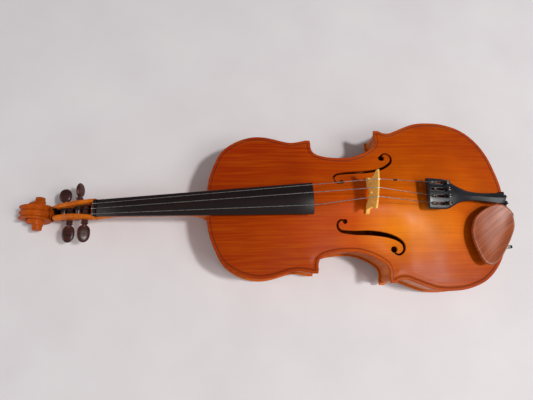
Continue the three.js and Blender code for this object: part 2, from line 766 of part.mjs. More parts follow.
// Bass bar: a strip glued along the inside of the front under the bass foot of the bridge
const bassBarStart = (bodyLength - bassBarLength) / 2;
const bassBarSteps = 14;
const bassBarLoops = [];
for (let i = 0; i <= bassBarSteps; i += 1) {
  const share = i / bassBarSteps;
  const x = bassBarStart + bassBarLength * share;
  const depth = mix(liningWidth, bassBarDepth, Math.sin(Math.PI * share) ** 1.3);
  const right = bassBarAcross - bassBarWidth / 2;
  const left = bassBarAcross + bassBarWidth / 2;
  const top = Math.min(frontUnderAt(x, right), frontUnderAt(x, left));
  bassBarLoops.push([
    new THREE.Vector3(x, right, top), new THREE.Vector3(x, left, top),
    new THREE.Vector3(x, left, top - depth), new THREE.Vector3(x, right, top - depth),
  ]);
}
const frontLowered = frontPlate.clone().translate(0, 0, -glueGap);
const backRaised = backPlate.clone().translate(0, 0, glueGap);
addPiece('bass_bar', cut(loft(bassBarLoops), frontLowered), colours.rawSpruce, 0.85);

const soundPostAlong = bridgeAlong + soundPostBehindBridge;
const soundPostTop = frontUnderAt(soundPostAlong, soundPostAcross);
const soundPostFoot = backInsideAt(soundPostAlong, soundPostAcross);
const soundPost = rod(soundPostRadius,
  new THREE.Vector3(soundPostAlong, soundPostAcross, soundPostFoot),
  new THREE.Vector3(soundPostAlong, soundPostAcross, soundPostTop), 12);
addPiece('sound_post', cut(soundPost, frontLowered, backRaised), colours.rawSpruce, 0.85);

// Fingerboard: crowned above, flat underneath, tapering to the nut
const nutAlong = -neckLength;
const boardEndAlong = nutAlong + boardLength;
const boardShareAt = (x) => (x - nutAlong) / boardLength;
const boardCrownAt = (x) => mix(boardCrownAtNut, boardCrownAtEnd, boardShareAt(x));
const boardHalfWidthAt = (x) => mix(boardWidthAtNut, boardWidthAtEnd, boardShareAt(x)) / 2;
const boardDropAt = (y) => boardCrownRadius - Math.sqrt(boardCrownRadius ** 2 - y ** 2);
const boardTopAt = (x, y) => boardCrownAt(x) - boardDropAt(y);
const boardUnderAt = (x) => boardTopAt(x, boardHalfWidthAt(x)) - boardSideThickness;
const boardCrownSteps = 10;

function boardLoop(x) {
  const halfWidth = boardHalfWidthAt(x);
  const loop = [];
  for (let i = 0; i <= boardCrownSteps; i += 1) {
    const y = mix(halfWidth, -halfWidth, i / boardCrownSteps);
    loop.push(new THREE.Vector3(x, y, boardTopAt(x, y)));
  }
  const under = boardUnderAt(x);
  const underHalf = halfWidth - glueGap;
  loop.push(new THREE.Vector3(x, -underHalf, under), new THREE.Vector3(x, underHalf, under));
  return loop;
}
const boardStations = [nutAlong, 0, boardEndAlong];
addPiece('fingerboard', loft(boardStations.map(boardLoop)), colours.board, 0.42);

// Nut: a little bridge at the head of the fingerboard, notched for each string
const nutStringAcross = [1, 0, -1].map((i) => nutStringShift + nutStringSpacing * i);
const nutBack = nutAlong - glueGap - nutThickness;
const nutFront = nutAlong - glueGap;
const nutLoop = (x, rise) => boardLoop(nutAlong).map((p) => new THREE.Vector3(x, p.y, p.z + rise));
const nutRing = (x, rise) => nutLoop(x, rise).map((p, i) => (
  i <= boardCrownSteps ? p : new THREE.Vector3(x, p.y, boardUnderAt(nutAlong))));
const nutShape = loft([
  nutRing(nutBack, -nutProud), nutRing((nutBack + nutFront) / 2, nutProud), nutRing(nutFront, nutProud)]);
const nutNotchTop = boardCrownAtNut + nutProud + cutOverrun;

// Where each string crosses the nut: its axis lies in a notch
const radii = [stringRadius.high, stringRadius.middle, stringRadius.low];
const nutCrossing = nutStringAcross.map((y, i) => new THREE.Vector3(
  (nutBack + nutFront) / 2, y, boardTopAt(nutAlong, y) + nutProud + radii[i] / 2));
const nutNotches = nutCrossing.map((p, i) => sidePrism([
  new THREE.Vector2(nutBack - cutOverrun, p.z - radii[i] - glueGap - (nutThickness / 2 + cutOverrun) * 0.45),
  new THREE.Vector2(p.x, p.z - radii[i] - glueGap),
  new THREE.Vector2(nutFront + cutOverrun, p.z - radii[i] - glueGap),
  new THREE.Vector2(nutFront + cutOverrun, nutNotchTop), new THREE.Vector2(nutBack - cutOverrun, nutNotchTop),
], p.y - radii[i] - glueGap, p.y + radii[i] + glueGap));
addPiece('nut', cut(nutShape, ...nutNotches), colours.ebony, 0.4);

// Neck: a half round handle that swells into the heel, with its root let into the sound box
const neckTopAt = (x) => boardUnderAt(Math.max(x, nutAlong)) - glueGap;
const neckStations = [
  [-neckLength - nutThickness - cheekThickness, 0], [-neckLength, 0],
  [-neckLength * 0.93, 0], [-neckLength * 0.55, 0],
  [-heelCurveLength * 1.5, 0], [-heelCurveLength, 0.06], [-heelCurveLength * 0.72, 0.2],
  [-heelCurveLength * 0.5, 0.42], [-heelCurveLength * 0.32, 0.7], [-heelCurveLength * 0.2, 0.93],
  [-heelCurveLength * 0.12, 1], [heelRootDepth, 1],
];
const neckRoundSteps = 10;
const heelFoot = ribBottom + glueGap;

function neckLoop([x, heelShare]) {
  const top = neckTopAt(x);
  const toBody = THREE.MathUtils.clamp((x + neckLength) / neckLength, 0, 1);
  const depth = mix(neckDepthAtNut, neckDepthAtHeel, toBody);
  const bottom = mix(top - depth, heelFoot, heelShare);
  const boardHalf = boardHalfWidthAt(Math.min(Math.max(x, nutAlong), 0));
  const halfTop = Math.min(boardHalf - glueGap, heelWidthAtTop / 2);
  const halfBottom = mix(halfTop, heelWidthAtButton / 2, heelShare);
  const loop = [];
  for (let i = 0; i <= neckRoundSteps; i += 1) {
    const angle = (Math.PI * i) / neckRoundSteps;
    const squareness = mix(1, 0.35, heelShare);
    const up = Math.sin(angle) ** squareness;
    const across = Math.sign(Math.cos(angle)) * Math.abs(Math.cos(angle)) ** squareness;
    loop.push(new THREE.Vector3(x, across * mix(halfTop, halfBottom, up), mix(top, bottom, up)));
  }
  return loop;
}
const neckHandle = loft(neckStations.map(neckLoop));

// Pegbox: two cheeks and a floor, cut from one block that narrows and drops towards the scroll
const pegboxStart = nutBack - glueGap;
const pegboxTopAtNut = boardTopAt(nutAlong, boardHalfWidthAt(nutAlong)) - 2 * glueGap;
const pegboxTopShares = [[0, 0], [0.35, 0.14], [0.7, 0.5], [1, 1]];
const pegboxShareAt = (x) => (pegboxStart - x) / pegboxLength;
const pegboxTopAt = (x) => mix(
  pegboxTopAtNut, pegboxTopAtScroll, alongTable(pegboxTopShares, pegboxShareAt(x)));
const pegboxBottomAt = (x) => mix(pegboxBottomAtNut, pegboxBottomAtScroll, pegboxShareAt(x));
const pegboxHalfAt = (x) => mix(pegboxWidthAtNut, pegboxWidthAtScroll, pegboxShareAt(x)) / 2;
const pegboxStationShares = [-0.09, 0, 0.2, 0.4, 0.6, 0.8, 1, 1.16];

function pegboxLoop(share, inset, floor) {
  const x = pegboxStart - pegboxLength * share;
  const halfWidth = pegboxHalfAt(x) - inset;
  const top = pegboxTopAt(x) + (inset > 0 ? cutOverrun : 0);
  const bottom = pegboxBottomAt(x) + floor;
  const narrower = halfWidth * (inset > 0 ? 0.82 : 0.86);
  return [
    new THREE.Vector3(x, halfWidth, top), new THREE.Vector3(x, -halfWidth, top),
    new THREE.Vector3(x, -narrower, bottom), new THREE.Vector3(x, narrower, bottom),
  ];
}
const pegboxBlock = loft(pegboxStationShares.map((share) => pegboxLoop(share, 0, 0)));
const cavityShares = [0.1, 0.3, 0.55, 0.8, 0.97];
const pegboxCavity = loft([
  pegboxLoop(-glueGap / pegboxLength, cheekThickness, pegboxFloorAtNut),
  ...cavityShares.map((share) => pegboxLoop(share, cheekThickness, pegboxFloorThickness)),
]);
const nutSeat = box(
  nutFront - nutBack + 2 * glueGap, pegboxWidthAtNut * 2, nutThickness * 4,
  (nutFront + nutBack) / 2, 0, neckTopAt(nutAlong) + nutThickness * 2);

// Scroll: each turn of the spiral is narrower in radius and stands out further to both sides
const scrollCentreAlong = nutAlong - scrollCentreFromNut;
const scrollPointsPerTurn = 20;
const scrollShrinkFrom = 0.25;
const scrollShrinkPower = 1.3;

function scrollRadiusAt(turns) {
  const share = Math.max(turns - scrollShrinkFrom, 0) / (scrollTurns - 0.5 - scrollShrinkFrom);
  return scrollRadius - (scrollRadius - scrollEyeRadius) * Math.min(share, 1) ** scrollShrinkPower;
}

function scrollHalfWidthAt(turns) {
  const share = Math.min(turns / (scrollTurns - 0.5), 1);
  return mix(scrollHalfWidthOutside, scrollHalfWidthAtEye, share ** 1.5);
}

// Turns are counted from the throat, down, round the front and back over the top
function scrollTurnSolid(firstTurn) {
  const rim = [];
  for (let i = 0; i <= scrollPointsPerTurn; i += 1) {
    const turns = firstTurn + i / scrollPointsPerTurn;
    const angle = -2 * Math.PI * turns;
    const radius = scrollRadiusAt(turns);
    rim.push({
      x: scrollCentreAlong + radius * Math.cos(angle),
      z: scrollCentreUp + radius * Math.sin(angle),
      half: scrollHalfWidthAt(turns),
    });
  }
  const triangles = [];
  const middleHalf = scrollHalfWidthAt(firstTurn + 0.5);
  const point = (place, side) => new THREE.Vector3(place.x, place.half * side, place.z);
  const centre = (side) => new THREE.Vector3(scrollCentreAlong, middleHalf * side, scrollCentreUp);
  for (let i = 0; i < scrollPointsPerTurn; i += 1) {
    triangles.push([centre(1), point(rim[i], 1), point(rim[i + 1], 1)]);
    triangles.push([centre(-1), point(rim[i + 1], -1), point(rim[i], -1)]);
    triangles.push([point(rim[i], 1), point(rim[i], -1), point(rim[i + 1], -1)]);
    triangles.push([point(rim[i], 1), point(rim[i + 1], -1), point(rim[i + 1], 1)]);
  }
  const [start, end] = [rim[0], rim.at(-1)];
  triangles.push([centre(1), point(end, 1), point(end, -1)], [centre(1), point(end, -1), centre(-1)]);
  triangles.push([centre(1), point(start, -1), point(start, 1)], [centre(1), centre(-1), point(start, -1)]);
  const geometry = meshFromTriangles(triangles);
  return signedVolume(geometry) < 0 ? turnedInsideOut(geometry) : geometry;
}
const scrollTurnStarts = [0, 1, 1.7];
const scrollSolids = scrollTurnStarts.map(scrollTurnSolid);

// Pegs: tapered shafts through both cheeks, with a collar and a flat thumb piece outside one of them
const pegFloorShare = 0.42;
const pegs = [
  { name: 'c', side: -1 }, { name: 'g', side: -1 }, { name: 'a', side: 1 }, { name: 'd', side: 1 },
];
for (const peg of pegs) {
  const x = nutAlong - pegFromNut[peg.name];
  peg.x = x;
  peg.z = mix(pegboxBottomAt(x) + pegboxFloorThickness, pegboxTopAt(x), pegFloorShare);
  peg.cheek = pegboxHalfAt(x);
}
const pegHoles = pegs.map((peg) => rod(
  pegShaftRadius + turningGap,
  new THREE.Vector3(peg.x, -peg.cheek - cutOverrun, peg.z),
  new THREE.Vector3(peg.x, peg.cheek + cutOverrun, peg.z), 16));

const neckSolid = toSolid(neckHandle).add(toSolid(pegboxBlock)).subtract(toSolid(pegboxCavity))
  .subtract(toSolid(nutSeat));
const neckWithScroll = scrollSolids.reduce((solid, turn) => solid.add(toSolid(turn)), neckSolid);
const neckBored = pegHoles.reduce((solid, hole) => solid.subtract(toSolid(hole)), neckWithScroll);
addPiece('neck', toGeometry(neckBored), colours.maple, 0.35);

for (const peg of pegs) {
  const out = new THREE.Vector3(0, peg.side, 0);
  const collarAt = peg.cheek + pegHeadGap[peg.name];
  const total = collarAt + pegCollarLength + peg.cheek + pegTipProud;
  const tip = new THREE.Vector3(peg.x, -peg.side * (peg.cheek + pegTipProud), peg.z);
  const waist = collarAt + peg.cheek + pegTipProud;
  const shaft = turned([
    [0, 0], [0, pegTipRadius * 0.8], [pegTipRounding, pegTipRadius],
    [peg.cheek * 2, pegShaftRadius - pegTaper],
    [waist - pegCollarRise, pegShaftRadius], [waist, pegCollarRadius],
    [waist + pegCollarLength * 0.5, pegCollarRadius],
    [waist + pegCollarLength, pegTipRadius * 0.75], [total + pegHeadLength * 0.3, pegTipRadius * 0.6],
    [total + pegHeadLength * 0.3, 0],
  ], tip, out, 12);
  const head = new THREE.SphereGeometry(1, 12, 8);
  head.scale(pegHeadWidth / 2, pegHeadLength / 2, pegHeadThickness / 2);
  head.rotateY(pegTurn[peg.name]);
  const headCentre = peg.side * (collarAt + pegCollarLength + pegHeadLength / 2 - pegHeadSunk);
  head.translate(peg.x, headCentre, peg.z);
  addPiece(`peg_${peg.name}`, join(shaft, mergedBare(head)), colours.rosewood, 0.4);
}

// Bridge: its feet follow the arch of the front, and it stands a little askew
const bridgeAcrossAxis = new THREE.Vector3(Math.sin(-bridgeTurn), Math.cos(bridgeTurn), 0);
const bridgeThroughAxis = new THREE.Vector3(Math.cos(bridgeTurn), -Math.sin(-bridgeTurn), 0);
const bridgePoint = (across, through) => new THREE.Vector3(bridgeAlong, bridgeAcross, 0)
  .addScaledVector(bridgeAcrossAxis, across).addScaledVector(bridgeThroughAxis, through);
const bridgeStringAcross = [1, 0, -1].map((i) => bridgeStringSpacing * i);
const bridgeCrownAt = (across) => bridgeHeight
  - bridgeCrownDrop * (across / (bridgeCrownSpan / 2)) ** 2;

// Front view of the bridge in shares of half its foot span and of its height, from foot to crown
const bridgeSideShares = [
  [1, 0], [1, 0.07], [0.8, 0.13], [0.72, 0.22], [0.8, 0.34], [0.78, 0.46], [0.8, 0.56], [0.94, 0.72],
  [1.01, 0.83],
];
const bridgeFootShares = [0.46, 0.64, 0.82, 1];
const bridgeArchShares = [[0.46, 0], [0.44, 0.1], [0.3, 0.2], [0.1, 0.26], [0, 0.27]];
const bridgeHeartShares = [[0, 0.36], [0.12, 0.42], [0.17, 0.52], [0.09, 0.6], [0, 0.56]];
const bridgeKidneyShares = [[0.36, 0.5], [0.52, 0.48], [0.7, 0.58], [0.66, 0.68], [0.5, 0.62], [0.38, 0.6]];

function bridgeFloorAt(across) {
  const halfFoot = bridgeFootThickness / 2;
  const corners = [-halfFoot, halfFoot].map((through) => bridgePoint(across, through));
  return Math.min(...corners.map((p) => frontTopAt(p.x, p.y))) - plateThickness / 2;
}

function bridgeOutline() {
  const halfFoot = bridgeFootSpan / 2;
  const base = bridgeFloorAt(0);
  const rise = bridgeHeight - base;
  const place = ([u, v], side) => {
    const across = side * u * halfFoot;
    const floor = v === 0 ? bridgeFloorAt(across) : base + v * rise;
    return new THREE.Vector2(across, floor);
  };
  const footFloor = (side) => bridgeFootShares.map((u) => place([u, 0], side));
  const crown = [];
  const crownSteps = 10;
  for (let i = 0; i <= crownSteps; i += 1) {
    const across = mix(bridgeCrownSpan / 2, -bridgeCrownSpan / 2, i / crownSteps);
    crown.push(new THREE.Vector2(across, bridgeCrownAt(across)));
  }
  const arch = bridgeArchShares.slice(1);
  return {
    outline: [
      ...footFloor(1), ...bridgeSideShares.slice(1).map((s) => place(s, 1)), ...crown,
      ...bridgeSideShares.slice(1).reverse().map((s) => place(s, -1)), ...footFloor(-1).reverse(),
      ...arch.map((s) => place(s, -1)), ...arch.slice(0, -1).reverse().map((s) => place(s, 1)),
    ],
    heart: [
      ...bridgeHeartShares.map((s) => place(s, 1)),
      ...bridgeHeartShares.slice(1, -1).reverse().map((s) => place(s, -1)),
    ],
    kidneys: [1, -1].map((side) => bridgeKidneyShares.map((s) => place(s, side))),
  };
}

// A flat board in the bridge's own plane: across and up become places on the instrument
function inBridgePlane(points, thickness) {
  const geometry = new THREE.ExtrudeGeometry(new THREE.Shape(points), {
    depth: thickness, bevelEnabled: false,
  });
  const places = geometry.attributes.position;
  for (let i = 0; i < places.count; i += 1) {
    const p = bridgePoint(places.getX(i), places.getZ(i) - thickness / 2);
    places.setXYZ(i, p.x, p.y, places.getY(i));
  }
  const merged = mergedBare(geometry);
  return signedVolume(merged) < 0 ? turnedInsideOut(merged) : merged;
}

const bridgeViews = bridgeOutline();
const bridgeBlank = inBridgePlane(bridgeViews.outline, bridgeFootThickness);
const bridgeHoles = [bridgeViews.heart, ...bridgeViews.kidneys]
  .map((points) => inBridgePlane(points, bridgeFootThickness + 2 * cutOverrun));

// The face towards the fingerboard slopes, so that the bridge thins towards its crown
const bridgeWedge = (() => {
  const low = bridgeFloorAt(0);
  const high = bridgeHeight + cutOverrun;
  const wide = bridgeFootSpan;
  const face = (across, up, through) => {
    const p = bridgePoint(across, through);
    return new THREE.Vector3(p.x, p.y, up);
  };
  const crownFace = bridgeFootThickness / 2 - bridgeCrownThickness;
  const ring = (across) => [
    face(across, low + cutOverrun, -bridgeFootThickness / 2), face(across, high, crownFace),
    face(across, high, -bridgeFootThickness), face(across, low + cutOverrun, -bridgeFootThickness),
  ];
  return loft([ring(-wide), ring(wide)]);
})();

const bridgeCrossing = bridgeStringAcross.map((across, i) => {
  const p = bridgePoint(across, bridgeFootThickness / 2 - bridgeCrownThickness / 2);
  return new THREE.Vector3(p.x, p.y, bridgeCrownAt(across) + radii[i] - stringNotchDepth + glueGap);
});
const bridgeNotches = bridgeCrossing.map((p, i) => rod(
  radii[i] + glueGap,
  new THREE.Vector3(p.x - bridgeFootThickness - cutOverrun, p.y, p.z - glueGap),
  new THREE.Vector3(p.x + bridgeFootThickness + cutOverrun, p.y, p.z - glueGap), 8));
const frontRaised = frontPlate.clone().translate(0, 0, glueGap);
const bridgeCut = cut(bridgeBlank, ...bridgeHoles, bridgeWedge, ...bridgeNotches, frontRaised);
addPiece('bridge', bridgeCut, colours.bridge, 0.55);

// Tailpiece: arched above, hollow slots for four tuners, from a wide head to a rounded end
const tailpieceEndAlong = bodyLength - tailpieceFromTail;
const tailpieceHeadAlong = tailpieceEndAlong - tailpieceLength;
const tailFrom = new THREE.Vector3(tailpieceHeadAlong, tailpieceHeadAcross, tailpieceHeadTop);
const tailTo = new THREE.Vector3(tailpieceEndAlong, tailpieceEndAcross, tailpieceEndTop);
const tailLength = tailTo.clone().setZ(0).distanceTo(tailFrom.clone().setZ(0));
const tailAlongAxis = tailTo.clone().sub(tailFrom).setZ(0).normalize();
const tailAcrossAxis = new THREE.Vector3(-tailAlongAxis.y, tailAlongAxis.x, 0);
const tailNeckShare = 0.66;
const tailUnderShare = 0.9;
const tailTopShares = [[0, 0], [0.3, 0.2], [0.55, 0.62], [1, 1]];
const tailWidthShares = [[0, 1], [0.24, 0.98], [0.3, 0.86], [0.4, 0.52], [0.58, 0], [0.72, 0.02]];
const tailEndWidthShares = [[0.66, 0], [0.93, 1], [0.97, 0.85], [1, 0.4]];

function tailHalfWidthAt(share) {
  const headShare = alongTable(tailWidthShares, share);
  if (share < tailNeckShare) return mix(tailpieceWaistWidth, tailpieceHeadWidth, headShare) / 2;
  const waist = mix(tailpieceWaistWidth, tailpieceHeadWidth, 0.01);
  return mix(waist, tailpieceEndWidth, alongTable(tailEndWidthShares, share)) / 2;
}
const tailTopAt = (share) => mix(tailpieceHeadTop, tailpieceEndTop, alongTable(tailTopShares, share));
const tailPoint = (along, across, up) => new THREE.Vector3(tailFrom.x, tailFrom.y, up)
  .addScaledVector(tailAlongAxis, along).addScaledVector(tailAcrossAxis, across);
const tailDropAt = (across, half) => (
  tailpieceCrown * (half / (tailpieceHeadWidth / 2)) * (across / half) ** 2);
const tailStationShares = [0, 0.03, 0.14, 0.25, 0.3, 0.35, 0.4, 0.48, 0.58, 0.7, 0.8, 0.88, 0.94, 0.98, 1];
const tailCrownSteps = 8;

function tailLoop(share) {
  const halfWidth = tailHalfWidthAt(share);
  const along = share * tailLength;
  const top = tailTopAt(share) - (share === 0 ? edgeRounding : 0);
  const loop = [];
  for (let i = 0; i <= tailCrownSteps; i += 1) {
    const across = mix(halfWidth, -halfWidth, i / tailCrownSteps);
    loop.push(tailPoint(along, across, top - tailDropAt(across, halfWidth)));
  }
  const under = top - tailpieceThickness;
  loop.push(tailPoint(along, -halfWidth * tailUnderShare, under),
    tailPoint(along, halfWidth * tailUnderShare, under));
  return loop;
}
const tailBlank = loft(tailStationShares.map(tailLoop));

// Each tuner sits in a slot: a lever on a cross pin, tipped by a knurled screw
const tunerPlaces = [1.5, 0.5, -0.5, -1.5].map((i) => tailStringSpacing * i);
const tunerTopShare = 0.1;
const tunerTopAt = (across) => tailTopAt(tunerTopShare) - tailDropAt(across, tailpieceHeadWidth / 2);

function tailBox(along, across, up, length, width, height) {
  const geometry = new THREE.BoxGeometry(length, width, height);
  geometry.rotateZ(Math.atan2(tailAlongAxis.y, tailAlongAxis.x));
  const place = tailPoint(along, across, up);
  return geometry.translate(place.x, place.y, place.z);
}
const tunerSlotMiddle = tunerSlotStart + tunerSlotLength / 2;
const tunerSlots = tunerPlaces.map((across) => tailBox(
  tunerSlotMiddle, across, tunerTopAt(across), tunerSlotLength, tunerSlotWidth, tailpieceThickness * 3));
const tunerScrewAlong = tunerSlotStart + tunerSlotLength + tunerScrewRadius + tunerWallThickness;
const tunerScrewHoles = tunerPlaces.map((across) => rod(
  tunerScrewRadius + turningGap,
  tailPoint(tunerScrewAlong, across, tunerTopAt(across) - 2 * tailpieceThickness),
  tailPoint(tunerScrewAlong, across, tunerTopAt(across) + cutOverrun), 10));
const gutUp = tailpieceEndTop - tailpieceThickness / 2;
const tailGutHoles = [1, -1].map((side) => rod(
  tailgutRadius + 2 * glueGap,
  tailPoint(tailLength - gutHoleDepth, side * gutHalfSpacing, gutUp),
  tailPoint(tailLength + cutOverrun, side * gutHalfSpacing, gutUp), 8));
const tunerPivotAlong = tunerSlotStart + tunerPivotAt;
const leverTailTop = tailTopAt(tunerScrewAlong / tailLength) - tailpieceThickness - 2 * turningGap;
const tunerPivotPins = tunerPlaces.map((across) => [-1, 1].map((side) => tailPoint(
  tunerPivotAlong, across + side * (tunerSlotWidth / 2 + tunerPinRadius),
  tunerTopAt(across) - tunerPivotDown)));
const slottedTail = cut(tailBlank, ...tunerSlots, ...tunerScrewHoles, ...tailGutHoles);
const tunerPins = tunerPivotPins.map(([from, to]) => rod(tunerPinRadius, from, to, 8));
addPiece('tailpiece', join(slottedTail, ...tunerPins), colours.black, 0.25);

// Side view of a lever, from its hook over the pivot to below the slot, in shares of its reach
// from pivot to screw and of the tailpiece's thickness
const leverReach = tunerScrewAlong - tunerPivotAlong;
const leverShares = [
  [-0.17, 0.246], [-0.059, 0.308], [0.124, -0.092], [0.15, -0.677], [0.065, -1.108], [-0.124, -0.831],
  [-0.111, -0.092], [-0.196, 0.092],
];
const leverTailOrder = 4;

tunerPlaces.forEach((across, i) => {
  const top = tunerTopAt(across);
  const screwFoot = tailPoint(tunerScrewAlong, across, leverTailTop + turningGap);
  const knobFrom = tailPoint(tunerScrewAlong, across, top + tunerKnobRise);
  const knobInside = tailPoint(tunerScrewAlong, across, top + tunerKnobRise + tunerKnobEdge);
  const knob = turned([
    [0, 0], [0, tunerKnobRadius - tunerKnobEdge], [tunerKnobEdge, tunerKnobRadius],
    [tunerKnobLength - tunerKnobEdge, tunerKnobRadius],
    [tunerKnobLength, tunerKnobRadius - tunerKnobEdge], [tunerKnobLength, 0],
  ], knobFrom, new THREE.Vector3(0, 0, 1), 12);
  const screw = join(rod(tunerScrewRadius, screwFoot, knobInside, 10), knob);
  addPiece(`tuner_screw_${i + 1}`, screw, colours.steel, 0.3, 0.9);

  // The tail of the lever lies below the tailpiece, where the screw presses on it
  const tailSide = (along, up) => new THREE.Vector2(tunerScrewAlong + along * tunerScrewRadius, up);
  const profile = leverShares.map(([along, up]) => new THREE.Vector2(
    tunerPivotAlong + along * leverReach, top + up * tailpieceThickness));
  profile.splice(leverTailOrder, 0, tailSide(-1, leverTailTop), tailSide(1, leverTailTop),
    tailSide(1, leverTailTop - leverTailThickness));
  const lever = new THREE.ExtrudeGeometry(new THREE.Shape(profile), {
    depth: tunerSlotWidth - 2 * turningGap, bevelEnabled: false,
  });
  lever.rotateX(Math.PI / 2).translate(0, tunerSlotWidth / 2 - turningGap, 0);
  lever.rotateZ(Math.atan2(tailAlongAxis.y, tailAlongAxis.x));
  const at = tailPoint(0, across, 0);
  lever.translate(at.x, at.y, 0);
  const [pinFrom, pinTo] = tunerPivotPins[i];
  const pinBore = rod(tunerPinRadius + turningGap, pinFrom, pinTo, 10);
  addPiece(`tuner_lever_${i + 1}`, cut(mergedBare(lever), pinBore), colours.steel, 0.3, 0.9);
});

// Saddle, end button and the gut that holds the tailpiece
const saddleTop = frontEdgeTop + saddleRise;
const saddleShares = [[1, 0.2], [0.6, 0.84], [0.3, 1], [0.06, 0.76], [0, 0]];
const saddleProfile = [
  new THREE.Vector2(bodyLength - saddleDepth, ribTop + glueGap),
  ...saddleShares.map(([a, b]) => new THREE.Vector2(
    bodyLength - saddleDepth * a, frontEdgeTop + saddleRise * b)),
  new THREE.Vector2(bodyLength, ribTop + glueGap),
];
const saddlePiece = mergedBare(sidePrism(saddleProfile, -saddleWidth / 2, saddleWidth / 2));
addPiece('saddle', saddlePiece, colours.ebony, 0.4);

const buttonFace = bodyLength - edgeOverhang + glueGap;
const buttonShares = [
  [0, 0.73], [0.24, 0.69], [0.3, 0.57], [0.52, 0.57], [0.64, 1], [0.86, 1], [1, 0.77], [1, 0],
];
const endButton = turned([
  [0, 0], [0, endButtonShaftRadius * pegTipShare], [endBlockDepth, endButtonShaftRadius],
  ...buttonShares.map(([a, b]) => [endBlockDepth + glueGap + endButtonProud * a, endButtonRadius * b]),
], new THREE.Vector3(buttonFace - endBlockDepth, 0, endButtonUp), new THREE.Vector3(1, 0, 0), 20);
addPiece('end_button', endButton, colours.ebony, 0.38);

// A round tube along a list of points, with a radius for each point
function tubeAlong(points, radiusOf, tubeSides) {
  let normal = new THREE.Vector3(0, 0, 1);
  const loops = points.map((p, i) => {
    const before = points[Math.max(i - 1, 0)];
    const after = points[Math.min(i + 1, points.length - 1)];
    const tangent = after.clone().sub(before).normalize();
    if (Math.abs(normal.dot(tangent)) > 0.99) normal = new THREE.Vector3(0, 1, 0);
    normal = normal.clone().addScaledVector(tangent, -normal.dot(tangent)).normalize();
    const across = new THREE.Vector3().crossVectors(tangent, normal);
    const loop = [];
    for (let k = 0; k < tubeSides; k += 1) {
      const angle = (2 * Math.PI * k) / tubeSides;
      loop.push(p.clone().addScaledVector(normal, Math.cos(angle) * radiusOf(i))
        .addScaledVector(across, Math.sin(angle) * radiusOf(i)));
    }
    return loop;
  });
  return loft(loops);
}

// The least gap of a tube to itself, measured between points more than half a loop apart
function leastGap(points, radius, apart) {
  let least = Infinity;
  for (let i = 0; i < points.length; i += 1) {
    for (let j = i + apart; j < points.length; j += 1) {
      least = Math.min(least, points[i].distanceTo(points[j]));
    }
  }
  return least - 2 * radius;
}

const gutLoopAlong = buttonFace + glueGap + endButtonProud * 0.41;
const gutLoopRadius = endButtonGrooveRadius + tailgutRadius + glueGap;
const gutAcross = (share, side) => side * mix(gutHalfSpacing, gutLoopRadius, share);
const gutSide = (side) => [
  tailPoint(tailLength - gutHoleDepth + 2 * tailgutRadius, side * gutHalfSpacing, gutUp),
  tailPoint(tailLength - 2 * tailgutRadius, side * gutHalfSpacing, gutUp),
  tailPoint(tailLength + tailgutRadius, side * gutHalfSpacing, gutUp),
  new THREE.Vector3(
    bodyLength - saddleDepth * 0.3, gutAcross(0.15, side), saddleTop + tailgutRadius + glueGap),
  new THREE.Vector3(bodyLength + tailgutRadius, gutAcross(0.3, side), saddleTop - tailgutRadius / 2),
  new THREE.Vector3(gutLoopAlong, gutAcross(0.6, side), frontEdgeTop),
];
const gutRound = [];
const gutRoundSteps = 10;
for (let i = 0; i <= gutRoundSteps; i += 1) {
  const angle = (-Math.PI * i) / gutRoundSteps;
  gutRound.push(new THREE.Vector3(
    gutLoopAlong, gutLoopRadius * Math.cos(angle), endButtonUp + gutLoopRadius * Math.sin(angle)));
}
addPiece('tailgut', tubeAlong([...gutSide(1), ...gutRound, ...gutSide(-1).reverse()], () => tailgutRadius, 8),
  colours.gut, 0.4);

// Strings: from the winding on the peg over nut and bridge to the hook of a tuner
const stringNames = ['high', 'middle', 'low'];
const stringPegs = ['a', 'd', 'g'];
const stringTuners = [0, 2, 3];
const stringCurves = [];

